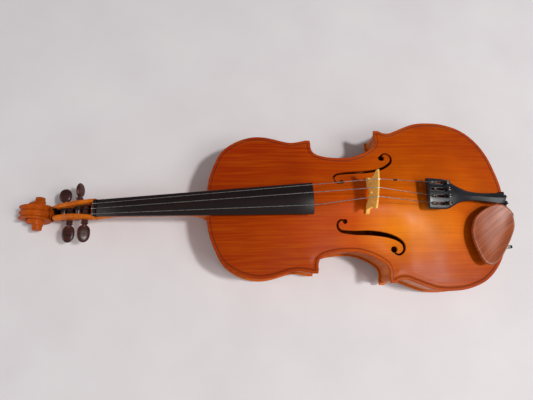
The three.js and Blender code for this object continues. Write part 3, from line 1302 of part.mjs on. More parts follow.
stringNames.forEach((name, i) => {
  const radius = radii[i];
  const peg = pegs.find((p) => p.name === stringPegs[i]);
  const coilRadius = pegShaftRadius + turningGap + radius;
  const nutPoint = nutCrossing[i];
  const pitch = 2 * radius + windingPitchGap;

  // The string leaves the top of its winding along the tangent towards the nut
  const reach = Math.hypot(nutPoint.x - peg.x, nutPoint.z - peg.z);
  const slope = Math.atan2(nutPoint.z - peg.z, nutPoint.x - peg.x);
  const leaveAngle = slope + Math.acos(coilRadius / reach);
  const coil = [];
  const total = windingLoops * windingStepsPerLoop;
  for (let k = 0; k <= total; k += 1) {
    const turn = (2 * Math.PI * (total - k)) / windingStepsPerLoop;
    const angle = leaveAngle + turn;
    const across = windingAcrossShares[peg.name] * pegboxWidthAtScroll
      + peg.side * pitch * (k / windingStepsPerLoop - windingLoops / 2);
    coil.push(new THREE.Vector3(
      peg.x + coilRadius * Math.cos(angle), across, peg.z + coilRadius * Math.sin(angle)));
  }
  const gap = leastGap(coil, radius, windingStepsPerLoop / 2);
  console.log(`string_${name}: least gap of the winding to itself ${gap.toFixed(2)} mm`);

  const tuner = tunerPlaces[stringTuners[i]];
  const tuned = tailPoint(tunerPivotAlong - stringEndBack, tuner, tunerTopAt(tuner) + stringEndRise);
  const boardRest = boardTopAt(boardEndAlong, slackAcross) + radius;
  const overBoard = name !== 'low' ? [] : [
    new THREE.Vector3(boardEndAlong - slackBend, slackAcross, boardRest + glueGap),
    new THREE.Vector3(boardEndAlong + slackBend, slackAcross, boardRest + 2 * glueGap),
  ];
  const bridgePlace = bridgeCrossing[i];
  const lead = (from, to, share) => from.clone().lerp(to, share);
  const ahead = tuned.clone().sub(bridgePlace).normalize();
  const path = [
    ...coil, lead(coil.at(-1), nutPoint, 0.94), nutPoint, ...overBoard,
    lead(overBoard.at(-1) ?? nutPoint, bridgePlace, 0.985),
    bridgePlace.clone().addScaledVector(ahead, bridgeCrownThickness / 2),
    tuned.clone().addScaledVector(ahead, -stringBallLength - stringBallTaper),
    tuned.clone().addScaledVector(ahead, -stringBallLength), tuned,
  ];
  const last = path.length - 1;
  addPiece(`string_${name}`, tubeAlong(path, (k) => (k >= last - 1 ? stringBallRadius : radius), 6),
    colours.string, 0.3, 0.8);
  stringCurves.push({ bridgePlace, tuned, radius });
});

// A short sleeve on the highest string, behind the bridge
const highString = stringCurves[0];
const sleeveWay = highString.tuned.clone().sub(highString.bridgePlace).normalize();
const sleeveBore = highString.radius + sleeveFit;
const sleeve = turned([
  [0, sleeveBore], [0, sleeveRadius - sleeveRounding], [sleeveRounding, sleeveRadius],
  [sleeveLength - sleeveRounding, sleeveRadius], [sleeveLength, sleeveRadius - sleeveRounding],
  [sleeveLength, sleeveBore], [0, sleeveBore],
], highString.bridgePlace.clone().addScaledVector(sleeveWay, sleeveFromBridge), sleeveWay, 10);
addPiece('string_sleeve', sleeve, colours.black, 0.6);

// Chin rest: a dished plate with a foot that stands on the clamp
const chinRestShares = [
  [-0.953, 0.253], [-0.713, 0.597], [-0.226, 0.86], [0.237, 0.997], [0.652, 0.973], [0.978, 0.72],
  [1, 0.513], [0.964, 0.226], [0.774, -0.075], [0.362, -0.546], [0.14, -0.758], [-0.186, -0.968],
  [-0.441, -1], [-0.656, -0.9], [-0.882, -0.505], [-1, -0.11],
];
const chinRestSteps = 32;
const chinRestCurve = new THREE.CatmullRomCurve3(
  chinRestShares.map(([u, v]) => new THREE.Vector3(u * chinRestLength / 2, v * chinRestWidth / 2, 0)), true);
const chinRestRim = chinRestCurve.getSpacedPoints(chinRestSteps).slice(0, -1);

// Rings in shares of the rim and heights below the top: from the dish's middle round to the underside
const chinRestDishShares = [[0.3, -1], [0.62, -0.78], [0.86, -0.25], [0.95, 0]];
const chinRestSideShares = [[0.99, -0.12], [1, -0.35], [0.93, -0.8], [0.84, -1]];
const chinRestRings = [
  ...chinRestDishShares.map(([a, b]) => [a, b * chinRestDish]),
  ...chinRestSideShares.map(([a, b]) => [a, b * chinRestThickness]),
];
// The plate tips a little: it is lower at its outer end
const chinRestAlong = bodyLength - chinRestFromTail;
const chinRestLoops = chinRestRings.map(([share, down]) => chinRestRim.map((p) => new THREE.Vector3(
  chinRestAlong + p.x * share, chinRestAcross + p.y * share,
  chinRestTop + down + p.y * share * chinRestTipShare)));
const chinRestPlate = loft(chinRestLoops);

// Where the edge of the tail end lies for a place across the instrument
const tailHalfStart = mix(lowerCornerAlong, bodyLength, 0.5);
function tailEdgeAt(y) {
  const points = outline.filter((p) => p.x > tailHalfStart && p.y <= 0).sort((a, b) => b.y - a.y);
  for (let i = 1; i < points.length; i += 1) {
    if (points[i].y <= y) {
      const t = (y - points[i - 1].y) / (points[i].y - points[i - 1].y);
      return mix(points[i - 1].x, points[i].x, t);
    }
  }
  return points.at(-1).x;
}
const clampAcross = chinRestAcross + clampInwards;
const clampLegs = [clampAcross + clampBarWidth / 2, clampAcross - clampBarWidth / 2];
const [innerLeg, outerLeg] = clampLegs;
const legPlace = (y) => tailEdgeAt(y) + clampStandOff;

// The bars run in from the two legs, over and under the edge
const clampPlan = [
  new THREE.Vector2(tailEdgeAt(innerLeg) - clampFootReach, innerLeg + legPad),
  new THREE.Vector2(legPlace(innerLeg) + legPad, innerLeg + legPad),
  new THREE.Vector2(legPlace(innerLeg) + legPad, innerLeg - legPad / 2),
  new THREE.Vector2(legPlace(outerLeg) + legPad, outerLeg - legPad),
  new THREE.Vector2(tailEdgeAt(outerLeg) - clampFootReach, outerLeg - legPad),
];
const padPlan = [
  new THREE.Vector2(tailEdgeAt(innerLeg) - clampFootReach, innerLeg + legPad - glueGap),
  new THREE.Vector2(tailEdgeAt(innerLeg) - corkEdgeSetBack, innerLeg + legPad - glueGap),
  new THREE.Vector2(tailEdgeAt(clampAcross) - corkEdgeSetBack, clampAcross),
  new THREE.Vector2(tailEdgeAt(outerLeg) - corkEdgeSetBack, outerLeg - legPad + glueGap),
  new THREE.Vector2(tailEdgeAt(outerLeg) - clampFootReach, outerLeg - legPad + glueGap),
];

// Cork pads follow the arch of the plate that they press on
const padTop = Math.max(...padPlan.map((p) => frontTopAt(p.x, p.y))) + glueGap + corkThickness;
const topCork = mergedBare(prism(padPlan, frontEdgeTop, padTop));
addPiece('clamp_cork_top', cut(topCork, frontRaised), colours.cork, 0.9);
const padBottom = Math.min(...padPlan.map((p) => backUnderAt(p.x, p.y))) - glueGap - corkThickness;
const backLowered = backPlate.clone().translate(0, 0, -glueGap);
const footCork = mergedBare(prism(padPlan, padBottom, backEdgeBottom));
addPiece('clamp_cork_foot', cut(footCork, backLowered), colours.cork, 0.9);

const barBottom = padTop + glueGap;
const barTop = barBottom + clampBarHeight;
const footTop = padBottom - glueGap;
const footBottom = footTop - clampBarHeight;
const topBar = mergedBare(prism(clampPlan, barBottom, barTop));
const footBar = mergedBare(prism(clampPlan, footBottom, footTop));

const barrelFrom = (footTop + barBottom - barrelLength) / 2;
const barrelTo = barrelFrom + barrelLength;
const upright = (radius, y, from, to) => rod(
  radius, new THREE.Vector3(legPlace(y), y, from), new THREE.Vector3(legPlace(y), y, to), 10);
const upperRodEnd = barrelTo - rodReach;
const lowerRodEnd = barrelFrom + rodReach;
const upperRods = clampLegs.map((y) => upright(clampRodRadius, y, upperRodEnd, (barBottom + barTop) / 2));
const lowerRods = clampLegs.map((y) => upright(clampRodRadius, y, (footBottom + footTop) / 2, lowerRodEnd));
addPiece('clamp_bar', join(topBar, ...upperRods), colours.steel, 0.25, 1);
addPiece('clamp_foot', join(footBar, ...lowerRods), colours.steel, 0.25, 1);
clampLegs.forEach((y, i) => {
  const barrel = turned([
    [0, 0], [0, barrelRadius - barrelEdge], [barrelEdge, barrelRadius],
    [barrelLength - barrelEdge, barrelRadius], [barrelLength, barrelRadius - barrelEdge], [barrelLength, 0],
  ], new THREE.Vector3(legPlace(y), y, barrelFrom), new THREE.Vector3(0, 0, 1), 14);
  const bored = cut(barrel,
    upright(clampRodRadius + turningGap, y, upperRodEnd - glueGap, barrelTo + cutOverrun),
    upright(clampRodRadius + turningGap, y, barrelFrom - cutOverrun, lowerRodEnd + glueGap));
  addPiece(`clamp_barrel_${i + 1}`, bored, colours.steel, 0.25, 1);
});

// The foot of the chin rest stands on the bar
const chinFootPlan = [
  new THREE.Vector2(tailEdgeAt(innerLeg) - chinFootSetBack - chinFootDepth, innerLeg),
  new THREE.Vector2(tailEdgeAt(innerLeg) - chinFootSetBack, innerLeg),
  new THREE.Vector2(tailEdgeAt(clampAcross) - chinFootSetBack, clampAcross),
  new THREE.Vector2(tailEdgeAt(clampAcross) - chinFootSetBack - chinFootDepth, clampAcross - legPad),
];
const chinFoot = mergedBare(prism(chinFootPlan, barTop + glueGap, chinRestTop - chinRestThickness / 2));
addPiece('chin_rest', join(chinRestPlate, chinFoot), colours.chinRest, 0.35);

// The origin lies at the middle of the underside of the whole instrument's box
const wholeBox = new THREE.Box3().setFromObject(viola, true);
const middle = wholeBox.getCenter(new THREE.Vector3());
viola.position.set(-middle.x, -middle.y, -wholeBox.min.z);
viola.updateMatrixWorld(true);

export default viola;
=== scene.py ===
"""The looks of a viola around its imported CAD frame.

Lengths in the making of pieces are millimetres in the working frame of the part's source,
where x is 0 at the neck end of the sound box. place() turns them into metres in the CAD frame.
"""
import math

import bpy
import numpy as np
from mathutils import Matrix, Vector
from mathutils.geometry import delaunay_2d_cdt


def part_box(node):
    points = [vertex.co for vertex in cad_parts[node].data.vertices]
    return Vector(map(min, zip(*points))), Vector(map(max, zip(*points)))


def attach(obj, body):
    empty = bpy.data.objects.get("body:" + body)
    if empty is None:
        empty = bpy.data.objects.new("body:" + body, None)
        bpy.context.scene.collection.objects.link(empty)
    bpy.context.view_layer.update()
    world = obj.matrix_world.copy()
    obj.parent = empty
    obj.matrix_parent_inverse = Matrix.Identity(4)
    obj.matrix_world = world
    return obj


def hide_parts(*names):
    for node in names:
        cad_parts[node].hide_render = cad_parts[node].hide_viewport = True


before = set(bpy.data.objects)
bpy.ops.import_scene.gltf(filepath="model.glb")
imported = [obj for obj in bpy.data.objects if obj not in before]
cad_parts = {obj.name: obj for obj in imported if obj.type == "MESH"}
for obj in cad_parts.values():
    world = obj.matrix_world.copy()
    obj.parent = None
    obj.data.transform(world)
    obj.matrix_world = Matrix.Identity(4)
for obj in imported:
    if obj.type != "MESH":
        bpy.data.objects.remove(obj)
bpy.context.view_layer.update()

ROOT = "instrument"
MILLIMETRE = 0.001
FRAME_SHIFT = -79.706
BODY_LENGTH = 400.0


def place(points):
    """Millimetres in the working frame as metres in the CAD frame."""
    moved = np.array(points, dtype=float)
    moved[..., 0] += FRAME_SHIFT
    return moved * MILLIMETRE


def colour(red, green, blue):
    """A colour written as it looks on a screen, 0 to 255, as the shader wants it."""
    shares = (np.array([red, green, blue]) / 255 + 0.055) / 1.055
    return (*np.power(shares, 2.4), 1.0)


# Camera, floor and lights, in metres
CAMERA_PLACE = Vector((-0.0370, -0.1295, 0.5341))
CAMERA_FORWARD = Vector((0.0703, 0.2719, -0.9598))
CAMERA_RIGHT = Vector((0.9974, -0.0318, 0.0640))
CAMERA_LENS, SENSOR_WIDTH, CLIP_START = 25.835, 36.0, 0.01
WORLD_STRENGTH = 0.2
LAMP_AIM = Vector((0.0, 0.0, 0.04))
# Each lamp's direction from the aim, distance, side and watts
LAMPS = {"window_light": ((0.56, -0.12, 1.0), 2.6, 0.24, 33.0),
         "sheen_light": ((0.78, -0.4, 1.0), 2.4, 0.9, 15.0),
         "left_fill": ((-1.0, -0.15, 0.34), 2.2, 1.4, 15.0),
         "near_fill": ((0.1, -1.0, 0.55), 2.4, 1.6, 6.0)}
FLOOR_HALF, FLOOR_LEVEL = 3.0, -0.0003


def linked(name, data):
    """A new object in the scene."""
    thing = bpy.data.objects.new(name, data)
    bpy.context.scene.collection.objects.link(thing)
    return thing


def set_camera():
    data = bpy.data.cameras.new("camera")
    data.lens = CAMERA_LENS
    data.sensor_width = SENSOR_WIDTH
    data.clip_start = CLIP_START
    camera = linked("camera", data)
    forward = CAMERA_FORWARD.normalized()
    right = (CAMERA_RIGHT - forward * CAMERA_RIGHT.dot(forward)).normalized()
    axes = Matrix((right, right.cross(forward), -forward)).transposed().to_4x4()
    camera.matrix_world = Matrix.Translation(CAMERA_PLACE) @ axes
    bpy.context.scene.camera = camera
    bpy.context.scene.view_settings.view_transform = "Standard"


def set_lights():
    world = bpy.data.worlds.new("world")
    world.use_nodes = True
    bpy.context.scene.world = world
    background = world.node_tree.nodes["Background"]
    background.inputs["Color"].default_value = colour(240, 240, 244)
    background.inputs["Strength"].default_value = WORLD_STRENGTH
    for name, (towards, distance, size, power) in LAMPS.items():
        data = bpy.data.lights.new(name, "AREA")
        data.shape = "SQUARE"
        data.size = size
        data.energy = power
        way = Vector(towards).normalized()
        lamp = linked(name, data)
        lamp.location = LAMP_AIM + way * distance
        lamp.rotation_euler = way.to_track_quat("Z", "Y").to_euler()


class Look:
    """A material whose colour and finish come from nodes in real lengths."""

    def __init__(self, name, **sockets):
        self.material = bpy.data.materials.new(name)
        self.material.use_nodes = True
        self.tree = self.material.node_tree
        self.tree.nodes.clear()
        self.shader = self.node("BsdfPrincipled")
        self.node("OutputMaterial", Surface=self.shader.outputs["BSDF"])
        self.give(**sockets)

    def join(self, value, socket):
        """Gives a socket a value, or links another node's output to it."""
        if isinstance(value, bpy.types.NodeSocket):
            self.tree.links.new(value, socket)
        else:
            socket.default_value = value

    def node(self, kind, **sockets):
        made = self.tree.nodes.new("ShaderNode" + kind)
        for name, value in sockets.items():
            self.join(value, made.inputs[name.replace("_", " ")])
        return made

    def place(self, scale=(1, 1, 1), turn=(0, 0, 0), coordinates="Object"):
        """Coordinates in metres, turned by degrees first and stretched after."""
        source = self.node("TexCoord").outputs[coordinates]
        angles = [math.radians(angle) for angle in turn]
        turned_source = self.node("Mapping", Vector=source, Rotation=angles).outputs["Vector"]
        return self.node("Mapping", Vector=turned_source, Scale=scale).outputs["Vector"]

    def axis(self, name):
        return self.node("SeparateXYZ", Vector=self.node("TexCoord").outputs["Object"]).outputs[name]

    def noise(self, vector, scale=1.0, detail=3.0, rough=0.5, distortion=0.0):
        return self.node("TexNoise", Vector=vector, Scale=scale, Detail=detail, Roughness=rough,
                         Distortion=distortion).outputs["Fac"]

    def ramp(self, value, *stops):
        made = self.node("ValToRGB", Fac=value)
        elements = made.color_ramp.elements
        while len(elements) < len(stops):
            elements.new(0.5)
        for element, (position, tint) in zip(elements, stops):
            element.position = position
            element.color = tint
        return made.outputs["Color"]

    def math(self, operation, *values):
        made = self.node("Math")
        made.operation = operation
        for value, socket in zip(values, made.inputs):
            self.join(value, socket)
        return made.outputs["Value"]

    def spread(self, value, low, high, new_low=0.0, new_high=1.0):
        return self.node("MapRange", Value=value, From_Min=low, From_Max=high, To_Min=new_low,
                         To_Max=new_high).outputs["Result"]

    def blend(self, share, first, second):
        made = self.node("Mix")
        made.data_type = "RGBA"
        for value, number in ((share, 0), (first, 6), (second, 7)):
            self.join(value, made.inputs[number])
        return made.outputs[2]

    def bump(self, height, distance, strength):
        made = self.node("Bump", Height=height, Distance=distance, Strength=strength)
        self.tree.links.new(made.outputs["Normal"], self.shader.inputs["Normal"])

    def give(self, **sockets):
        for name, value in sockets.items():
            self.join(value, self.shader.inputs[name.replace("_", " ")])
        return self.material


def lay_floor():
    """A pale cloth under the instrument."""
    look = Look("pale_cloth", Roughness=0.9)
    stains = look.noise(look.place(), scale=9.0, detail=4.0)
    look.bump(look.noise(look.place(), scale=900.0, detail=2.0), 0.0003, 0.25)
    mesh = bpy.data.meshes.new("floor")
    corners = [(-1, -1), (1, -1), (1, 1), (-1, 1)]
    mesh.from_pydata([(x * FLOOR_HALF, y * FLOOR_HALF, FLOOR_LEVEL) for x, y in corners], [], [(0, 1, 2, 3)])
    mesh.materials.append(look.give(Base_Color=look.ramp(
        stains, (0.3, colour(222, 216, 217)), (0.7, colour(229, 224, 224)))))
    linked("floor", mesh)


set_camera()
set_lights()
lay_floor()

# Materials
VARNISH_ROUGHNESS = 0.4


def working(value):
    """A place along the instrument, working millimetres, in object coordinates."""
    return (value + FRAME_SHIFT) * MILLIMETRE


def varnish(look, tint):
    """Varnish over a tint: clouds of darker red and a little wear."""
    cloud = look.noise(look.place(), scale=22.0, detail=5.0)
    wear = look.noise(look.place(), scale=60.0, detail=6.0)
    look.give(Coat_Weight=0.07, Coat_Roughness=0.24, Coat_IOR=1.4, Specular_IOR_Level=0.05,
              Roughness=look.spread(wear, 0.3, 0.7, VARNISH_ROUGHNESS - 0.05, VARNISH_ROUGHNESS + 0.08))
    clouded = look.blend(look.spread(cloud, 0.35, 0.75, 0.0, 0.35), tint, colour(132, 36, 0))
    return look.give(Base_Color=clouded)


def spruce_front():
    """Golden in the middle of its length, redder towards its ends and sides, with fine straight grain; the
    lighter middle is partly painted light, the darker sides partly painted shade, and a lighter oval is a
    painted sheen.
    """
    look = Look("front_varnish", IOR=1.48)
    # Along the length: lighter and more golden in the middle, redder towards the ends; partly the varnish's
    # own colour and partly painted light
    along = look.spread(look.axis("X"), working(0), working(BODY_LENGTH))
    tint = look.ramp(along, (0.0, colour(150, 44, 0)), (0.3, colour(172, 58, 0)), (0.47, colour(200, 76, 0)),
                     (0.6, colour(228, 108, 0)), (0.8, colour(220, 100, 0)), (1.0, colour(190, 74, 0)))
    # Redder varnish and painted shade towards each side: where it starts and is full, its share and its
    # colour
    for start, full, share, side_tint_and_shade in ((0.01, 0.08, 0.72, colour(156, 40, 0)),
                                          (-0.05, -0.1, 0.75, colour(160, 54, 8))):
        tint = look.blend(look.spread(look.axis("Y"), start, full, 0.0, share), tint, side_tint_and_shade)
    # A painted sheen, a lighter oval between the bridge and the chin rest: its middle and reach along and
    # across
    offsets = []
    for axis, middle, reach in (("X", working(266), 0.08), ("Y", -0.036, 0.046)):
        offset = look.math("DIVIDE", look.math("SUBTRACT", look.axis(axis), middle), reach)
        offsets.append(look.math("MULTIPLY", offset, offset))
    sheen_distance = look.math("SQRT", look.math("ADD", *offsets))
    tint = look.blend(look.spread(sheen_distance, 1.0, 0.1, 0.0, 0.75), tint, colour(250, 146, 26))
    grain = look.noise(look.place((5, 1100, 60)), detail=3.0, rough=0.6)
    tint = look.blend(look.spread(grain, 0.42, 0.62, 0.17, 0.0), tint, colour(104, 26, 0))
    fine = look.noise(look.place((16, 420, 40)), detail=2.0)
    tint = look.blend(look.spread(fine, 0.4, 0.75, 0.0, 0.18), tint, colour(240, 130, 0))
    look.bump(grain, 0.0001, 0.12)
    return varnish(look, tint)


def flamed_maple(name, tint, dark, flame_scale, coordinates="Object", amount=0.4):
    look = Look(name, IOR=1.48)
    flame = look.noise(look.place(flame_scale, coordinates=coordinates), detail=2.0, distortion=0.6)
    pores = look.noise(look.place((120, 900, 900), coordinates=coordinates), detail=3.0)
    look.bump(pores, 0.0001, 0.1)
    shade = look.blend(look.spread(flame, 0.35, 0.65, amount, 0.0), tint, dark)
    return varnish(look, look.blend(look.spread(pores, 0.35, 0.5, 0.25, 0.0), shade, dark))


def raw_wood(name, tint, dark):
    look = Look(name, Roughness=0.75)
    grain = look.noise(look.place((14, 700, 90)), detail=3.0, rough=0.6)
    look.bump(grain, 0.0002, 0.2)
    return look.give(Base_Color=look.ramp(grain, (0.3, dark), (0.65, tint)))


def dark_wood(name, tint, streak, rough, coat, turn=(0, 0, 0), streak_scale=(14, 260, 60), coat_rough=0.2):
    look = Look(name, Specular_IOR_Level=0.3, Coat_Weight=coat, Coat_Roughness=coat_rough)
    grain = look.noise(look.place(streak_scale, turn), detail=4.0, rough=0.6, distortion=0.4)
    pores = look.noise(look.place((90, 2400, 900), turn), detail=2.0)
    look.bump(pores, 0.0001, 0.25)
    shade = look.ramp(grain, (0.36, streak), (0.6, tint))
    return look.give(Roughness=look.spread(grain, 0.3, 0.7, rough + 0.08, rough - 0.04),
                     Base_Color=look.blend(look.spread(pores, 0.36, 0.46, 0.5, 0.0), shade, streak))


def black_plastic():
    look = Look("black_plastic", Coat_Weight=0.2, Coat_Roughness=0.3, Specular_IOR_Level=0.4)
    marks = look.noise(look.place(), scale=140.0, detail=6.0)
    look.bump(look.noise(look.place((400, 30, 30), (0, 0, 24)), scale=4.0, detail=3.0), 0.00005, 0.1)
    return look.give(Roughness=look.spread(marks, 0.3, 0.8, 0.32, 0.42),
                     Base_Color=look.ramp(marks, (0.3, colour(14, 13, 18)), (0.8, colour(22, 20, 27))))


def scaled(tint, factor):
    return tuple(factor * part for part in tint[:3]) + (1.0,)


def metal(name, tint, rough, brushing=(900, 60, 60)):
    look = Look(name, Metallic=1.0)
    marks = look.noise(look.place(brushing), scale=3.0, detail=4.0)
    look.bump(marks, 0.00003, 0.15)
    return look.give(Roughness=look.spread(marks, 0.3, 0.7, rough - 0.05, rough + 0.1),
                     Base_Color=look.ramp(marks, (0.25, scaled(tint, 0.72)), (0.6, tint)))


def cork():
    look = Look("cork", Roughness=0.85)
    cells = look.noise(look.place(), scale=900.0, detail=4.0, rough=0.7)
    look.bump(cells, 0.0003, 0.5)
    return look.give(Base_Color=look.ramp(cells, (0.35, colour(96, 62, 34)), (0.5, colour(168, 122, 76)),
                                          (0.7, colour(196, 152, 104))))


def soft_black(name, tint, rough=0.55):
    look = Look(name, Specular_IOR_Level=0.15)
    marks = look.noise(look.place(), scale=260.0, detail=4.0)
    look.bump(marks, 0.0001, 0.15)
    return look.give(Roughness=look.spread(marks, 0.3, 0.7, rough - 0.08, rough + 0.1),
                     Base_Color=look.ramp(marks, (0.3, tint), (0.75, scaled(tint, 1.5))))


front_look = spruce_front()
back_look = flamed_maple("back_varnish", colour(214, 108, 30), colour(140, 52, 10), (110, 14, 14))
rib_look = flamed_maple("rib_varnish", colour(214, 118, 52), colour(142, 56, 18), (150, 14, 14), "UV", 0.45)
rib_look.node_tree.nodes["Principled BSDF"].inputs["Coat Weight"].default_value = 0.5
head_look = flamed_maple("head_varnish", colour(226, 120, 28), colour(156, 62, 8), (150, 30, 30))
scroll_look = flamed_maple("scroll_varnish", colour(186, 82, 14), colour(116, 40, 4), (150, 30, 30))
raw_spruce_look = raw_wood("raw_spruce", colour(214, 176, 120), colour(176, 130, 78))
bridge_look = raw_wood("bridge_maple", colour(254, 202, 98), colour(236, 166, 66))
ebony_look = dark_wood("ebony", colour(30, 14, 12), colour(16, 8, 7), rough=0.42, coat=0.04)
rosewood_look = dark_wood("rosewood", colour(80, 38, 30), colour(34, 16, 14), rough=0.32, coat=0.12)
chin_look = dark_wood("chin_rest_rosewood", colour(168, 86, 44), colour(132, 60, 28), rough=0.44, coat=0.35,
                      turn=(0, 0, -36), streak_scale=(14, 330, 60), coat_rough=0.4)
plastic_look = black_plastic()
# The grey of the tailpiece's slot rims is a painted highlight on the slots' edges
slot_rim_highlight_look = soft_black("slot_rim_painted_highlight", colour(96, 92, 94), 0.3)
gut_look = soft_black("tailgut_cord", colour(28, 26, 26))
sleeve_look = soft_black("black_rubber", colour(34, 32, 32), 0.6)
winding_look = soft_black("string_silk", colour(38, 26, 26), 0.85)
trough_look = soft_black("trough_shade", colour(30, 15, 9), 0.8)
purfling_look = soft_black("purfling_black", colour(38, 18, 10), 0.35)
string_look = metal("string_metal", colour(176, 172, 168), 0.28, (60, 60, 60))
tuner_look = metal("tuner_metal", colour(150, 144, 136), 0.24)
screw_look = metal("tuner_screw_metal", colour(84, 80, 78), 0.3)
clamp_look = metal("clamp_metal", colour(200, 196, 190), 0.2, (60, 60, 700))
cork_look = cork()

SLOT_LOOKS = {
    "spruce": front_look, "maple": head_look, "raw_wood": raw_spruce_look, "board": ebony_look,
    "ebony": ebony_look, "rosewood": rosewood_look, "bridge_maple": bridge_look,
    "black_plastic": plastic_look, "gut": gut_look, "black_rubber": sleeve_look,
    "string_metal": string_look, "tuner_metal": tuner_look, "chin_rest_wood": chin_look,
    "cork": cork_look, "clamp_metal": clamp_look,
}

# Mesh tools
CURVE_STEPS, POINTS_AT_ONCE, LEAST_RADIUS = 24, 2000, 0.02


def bare_mesh(name, vertices, faces):
    """A mesh from working millimetres."""
    mesh = bpy.data.meshes.new(name)
    corners = [tuple(map(int, face)) for face in faces]
    mesh.from_pydata([tuple(point) for point in place(vertices)], [], corners)
    return mesh


def add_piece(name, vertices, faces, looks, body=ROOT, stands_for=(), slot=None, face_looks=None):
    """One smooth mesh piece that rides on a body. Vertices are working millimetres."""
    mesh = bare_mesh(name, vertices, faces)
    for look in looks if isinstance(looks, list) else [looks]:
        mesh.materials.append(look)
    if face_looks is not None:
        mesh.polygons.foreach_set("material_index", face_looks)
    mesh.polygons.foreach_set("use_smooth", [True] * len(mesh.polygons))
    mesh.validate()
    mesh.update()
    piece = linked(name, mesh)
    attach(piece, body)
    if stands_for:
        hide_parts(*stands_for)
    return piece


def sharpen(piece, angle):
    """Smooth shading that breaks at edges sharper than the angle."""
    piece.data.set_sharp_from_angle(angle=math.radians(angle))
    return piece


def soften(piece, width, segments, angle):
    """Rounds the piece's edges that are sharper than the angle."""
    bevel = piece.modifiers.new("rounded_edges", "BEVEL")
    bevel.width = width * MILLIMETRE
    bevel.segments = segments
    bevel.limit_method = "ANGLE"
    bevel.angle_limit = math.radians(angle)
    return piece


def cutter(vertices, faces):
    """A body to cut out of a piece."""
    return linked("cutter", bare_mesh("cutter", vertices, faces))


def carve(piece, *cutters):
    """Cuts the cutters out of the piece and removes them."""
    for tool in cutters:
        modifier = piece.modifiers.new("cut", "BOOLEAN")
        modifier.operation = "DIFFERENCE"
        modifier.solver = "EXACT"
        modifier.object = tool
    graph = bpy.context.evaluated_depsgraph_get()
    graph.update()
    result = bpy.data.meshes.new_from_object(piece.evaluated_get(graph))
    piece.modifiers.clear()
    piece.data = result
    for tool in cutters:
        bpy.data.objects.remove(tool, do_unlink=True)
    return piece


def grid_faces(rows, columns, close_columns=False):
    """Quads over a grid of vertices kept row by row."""
    faces = []
    for row in range(rows - 1):
        start = row * columns
        for column in range(columns if close_columns else columns - 1):
            after = (column + 1) % columns
            faces.append((start + column, start + after, start + columns + after, start + columns + column))
    return faces


def volume_of(vertices, faces):
    """The volume that faces close in, below zero where they face inwards."""
    total = 0.0
    for face in faces:
        corners = vertices[list(face)]
        total += float(np.sum(np.cross(corners[1:-1], corners[2:]) @ corners[0]))
    return total / 6


def loft(rings):
    """A closed body through rings with as many points each, in order along it."""
    vertices = np.concatenate([np.asarray(ring, dtype=float) for ring in rings])
    count = len(rings[0])
    faces = grid_faces(len(rings), count, close_columns=True)
    faces.append(tuple(range(count))[::-1])
    faces.append(tuple(range(len(vertices) - count, len(vertices))))
    if volume_of(vertices, faces) < 0:
        faces = [face[::-1] for face in faces]
    return vertices, faces


def circle(radius, count):
    """Points round a circle about the origin."""
    return [(radius * math.cos(angle), radius * math.sin(angle))
            for angle in np.linspace(0, 2 * np.pi, count, endpoint=False)]


def turned(profile, origin, direction, sides):
    """A closed turned body; the profile holds places along the axis with their radii."""
    basis = Vector(direction).normalized().to_track_quat("Z", "Y").to_matrix()
    rings = []
    for along, radius in profile:
        spots = [basis @ Vector((u, v, along)) for u, v in circle(max(radius, LEAST_RADIUS), sides)]
        rings.append([(origin[0] + spot.x, origin[1] + spot.y, origin[2] + spot.z) for spot in spots])
    return loft(rings)


def mirrored(line):
    """The same line on the other side of the middle."""
    return [(-across, up) for across, up in line]


def upright(plan, *levels):
    """A body with the same plan at each level."""
    return loft([[(x, y, level) for x, y in plan] for level in levels])


def joined(*bodies):
    """Several bodies of (vertices, faces) as one list of each."""
    vertices, faces, start = [], [], 0
    for body_vertices, body_faces in bodies:
        vertices.append(np.asarray(body_vertices, dtype=float))
        faces += [tuple(index + start for index in face) for face in body_faces]
        start += len(body_vertices)
    return np.concatenate(vertices), faces


def mix(first, second, share):
    return first + (second - first) * share


def table_curve(line, place_share):
    """The value that a smooth line of (place, value) has at a place."""
    return float(np.interp(place_share, line[:, 0], line[:, 1]))


def smooth_line(points, count=None, closed=False, step=None):
    """A smooth curve that passes through the points, at even steps along it."""
    points = np.array(points, dtype=float)
    if closed:
        knots = np.concatenate([points[-1:], points, points[:2]])
    else:
        knots = np.concatenate([[2 * points[0] - points[1]], points, [2 * points[-1] - points[-2]]])
    times = np.linspace(0, 1, CURVE_STEPS, endpoint=False)[:, None]
    fine = []
    for knot, start, end, last in zip(knots, knots[1:], knots[2:], knots[3:]):
        before, here, after = (max(np.linalg.norm(b - a), 1e-6) ** 0.5
                               for a, b in ((knot, start), (start, end), (end, last)))
        way_in = ((start - knot) / before - (end - knot) / (before + here) + (end - start) / here) * here
        way_out = ((end - start) / here - (last - start) / (here + after) + (last - end) / after) * here
        bend = -3 * start + 3 * end - 2 * way_in - way_out
        twist = 2 * start - 2 * end + way_in + way_out
        fine.append(start + way_in * times + bend * times ** 2 + twist * times ** 3)
    fine = np.concatenate(fine + [points[:1] if closed else points[-1:]])
    return fine if count is None and step is None else even_line(fine, count, step)


def even_line(line, count=None, step=None):
    """The line's points moved to even steps along it."""
    line = np.asarray(line, dtype=float)
    lengths = np.concatenate([[0], np.cumsum(np.linalg.norm(np.diff(line, axis=0), axis=1))])
    if count is None:
        count = max(int(round(lengths[-1] / step)), 2) + 1
    places = np.linspace(0, lengths[-1], count)
    return np.stack([np.interp(places, lengths, line[:, axis]) for axis in range(line.shape[1])], axis=1)


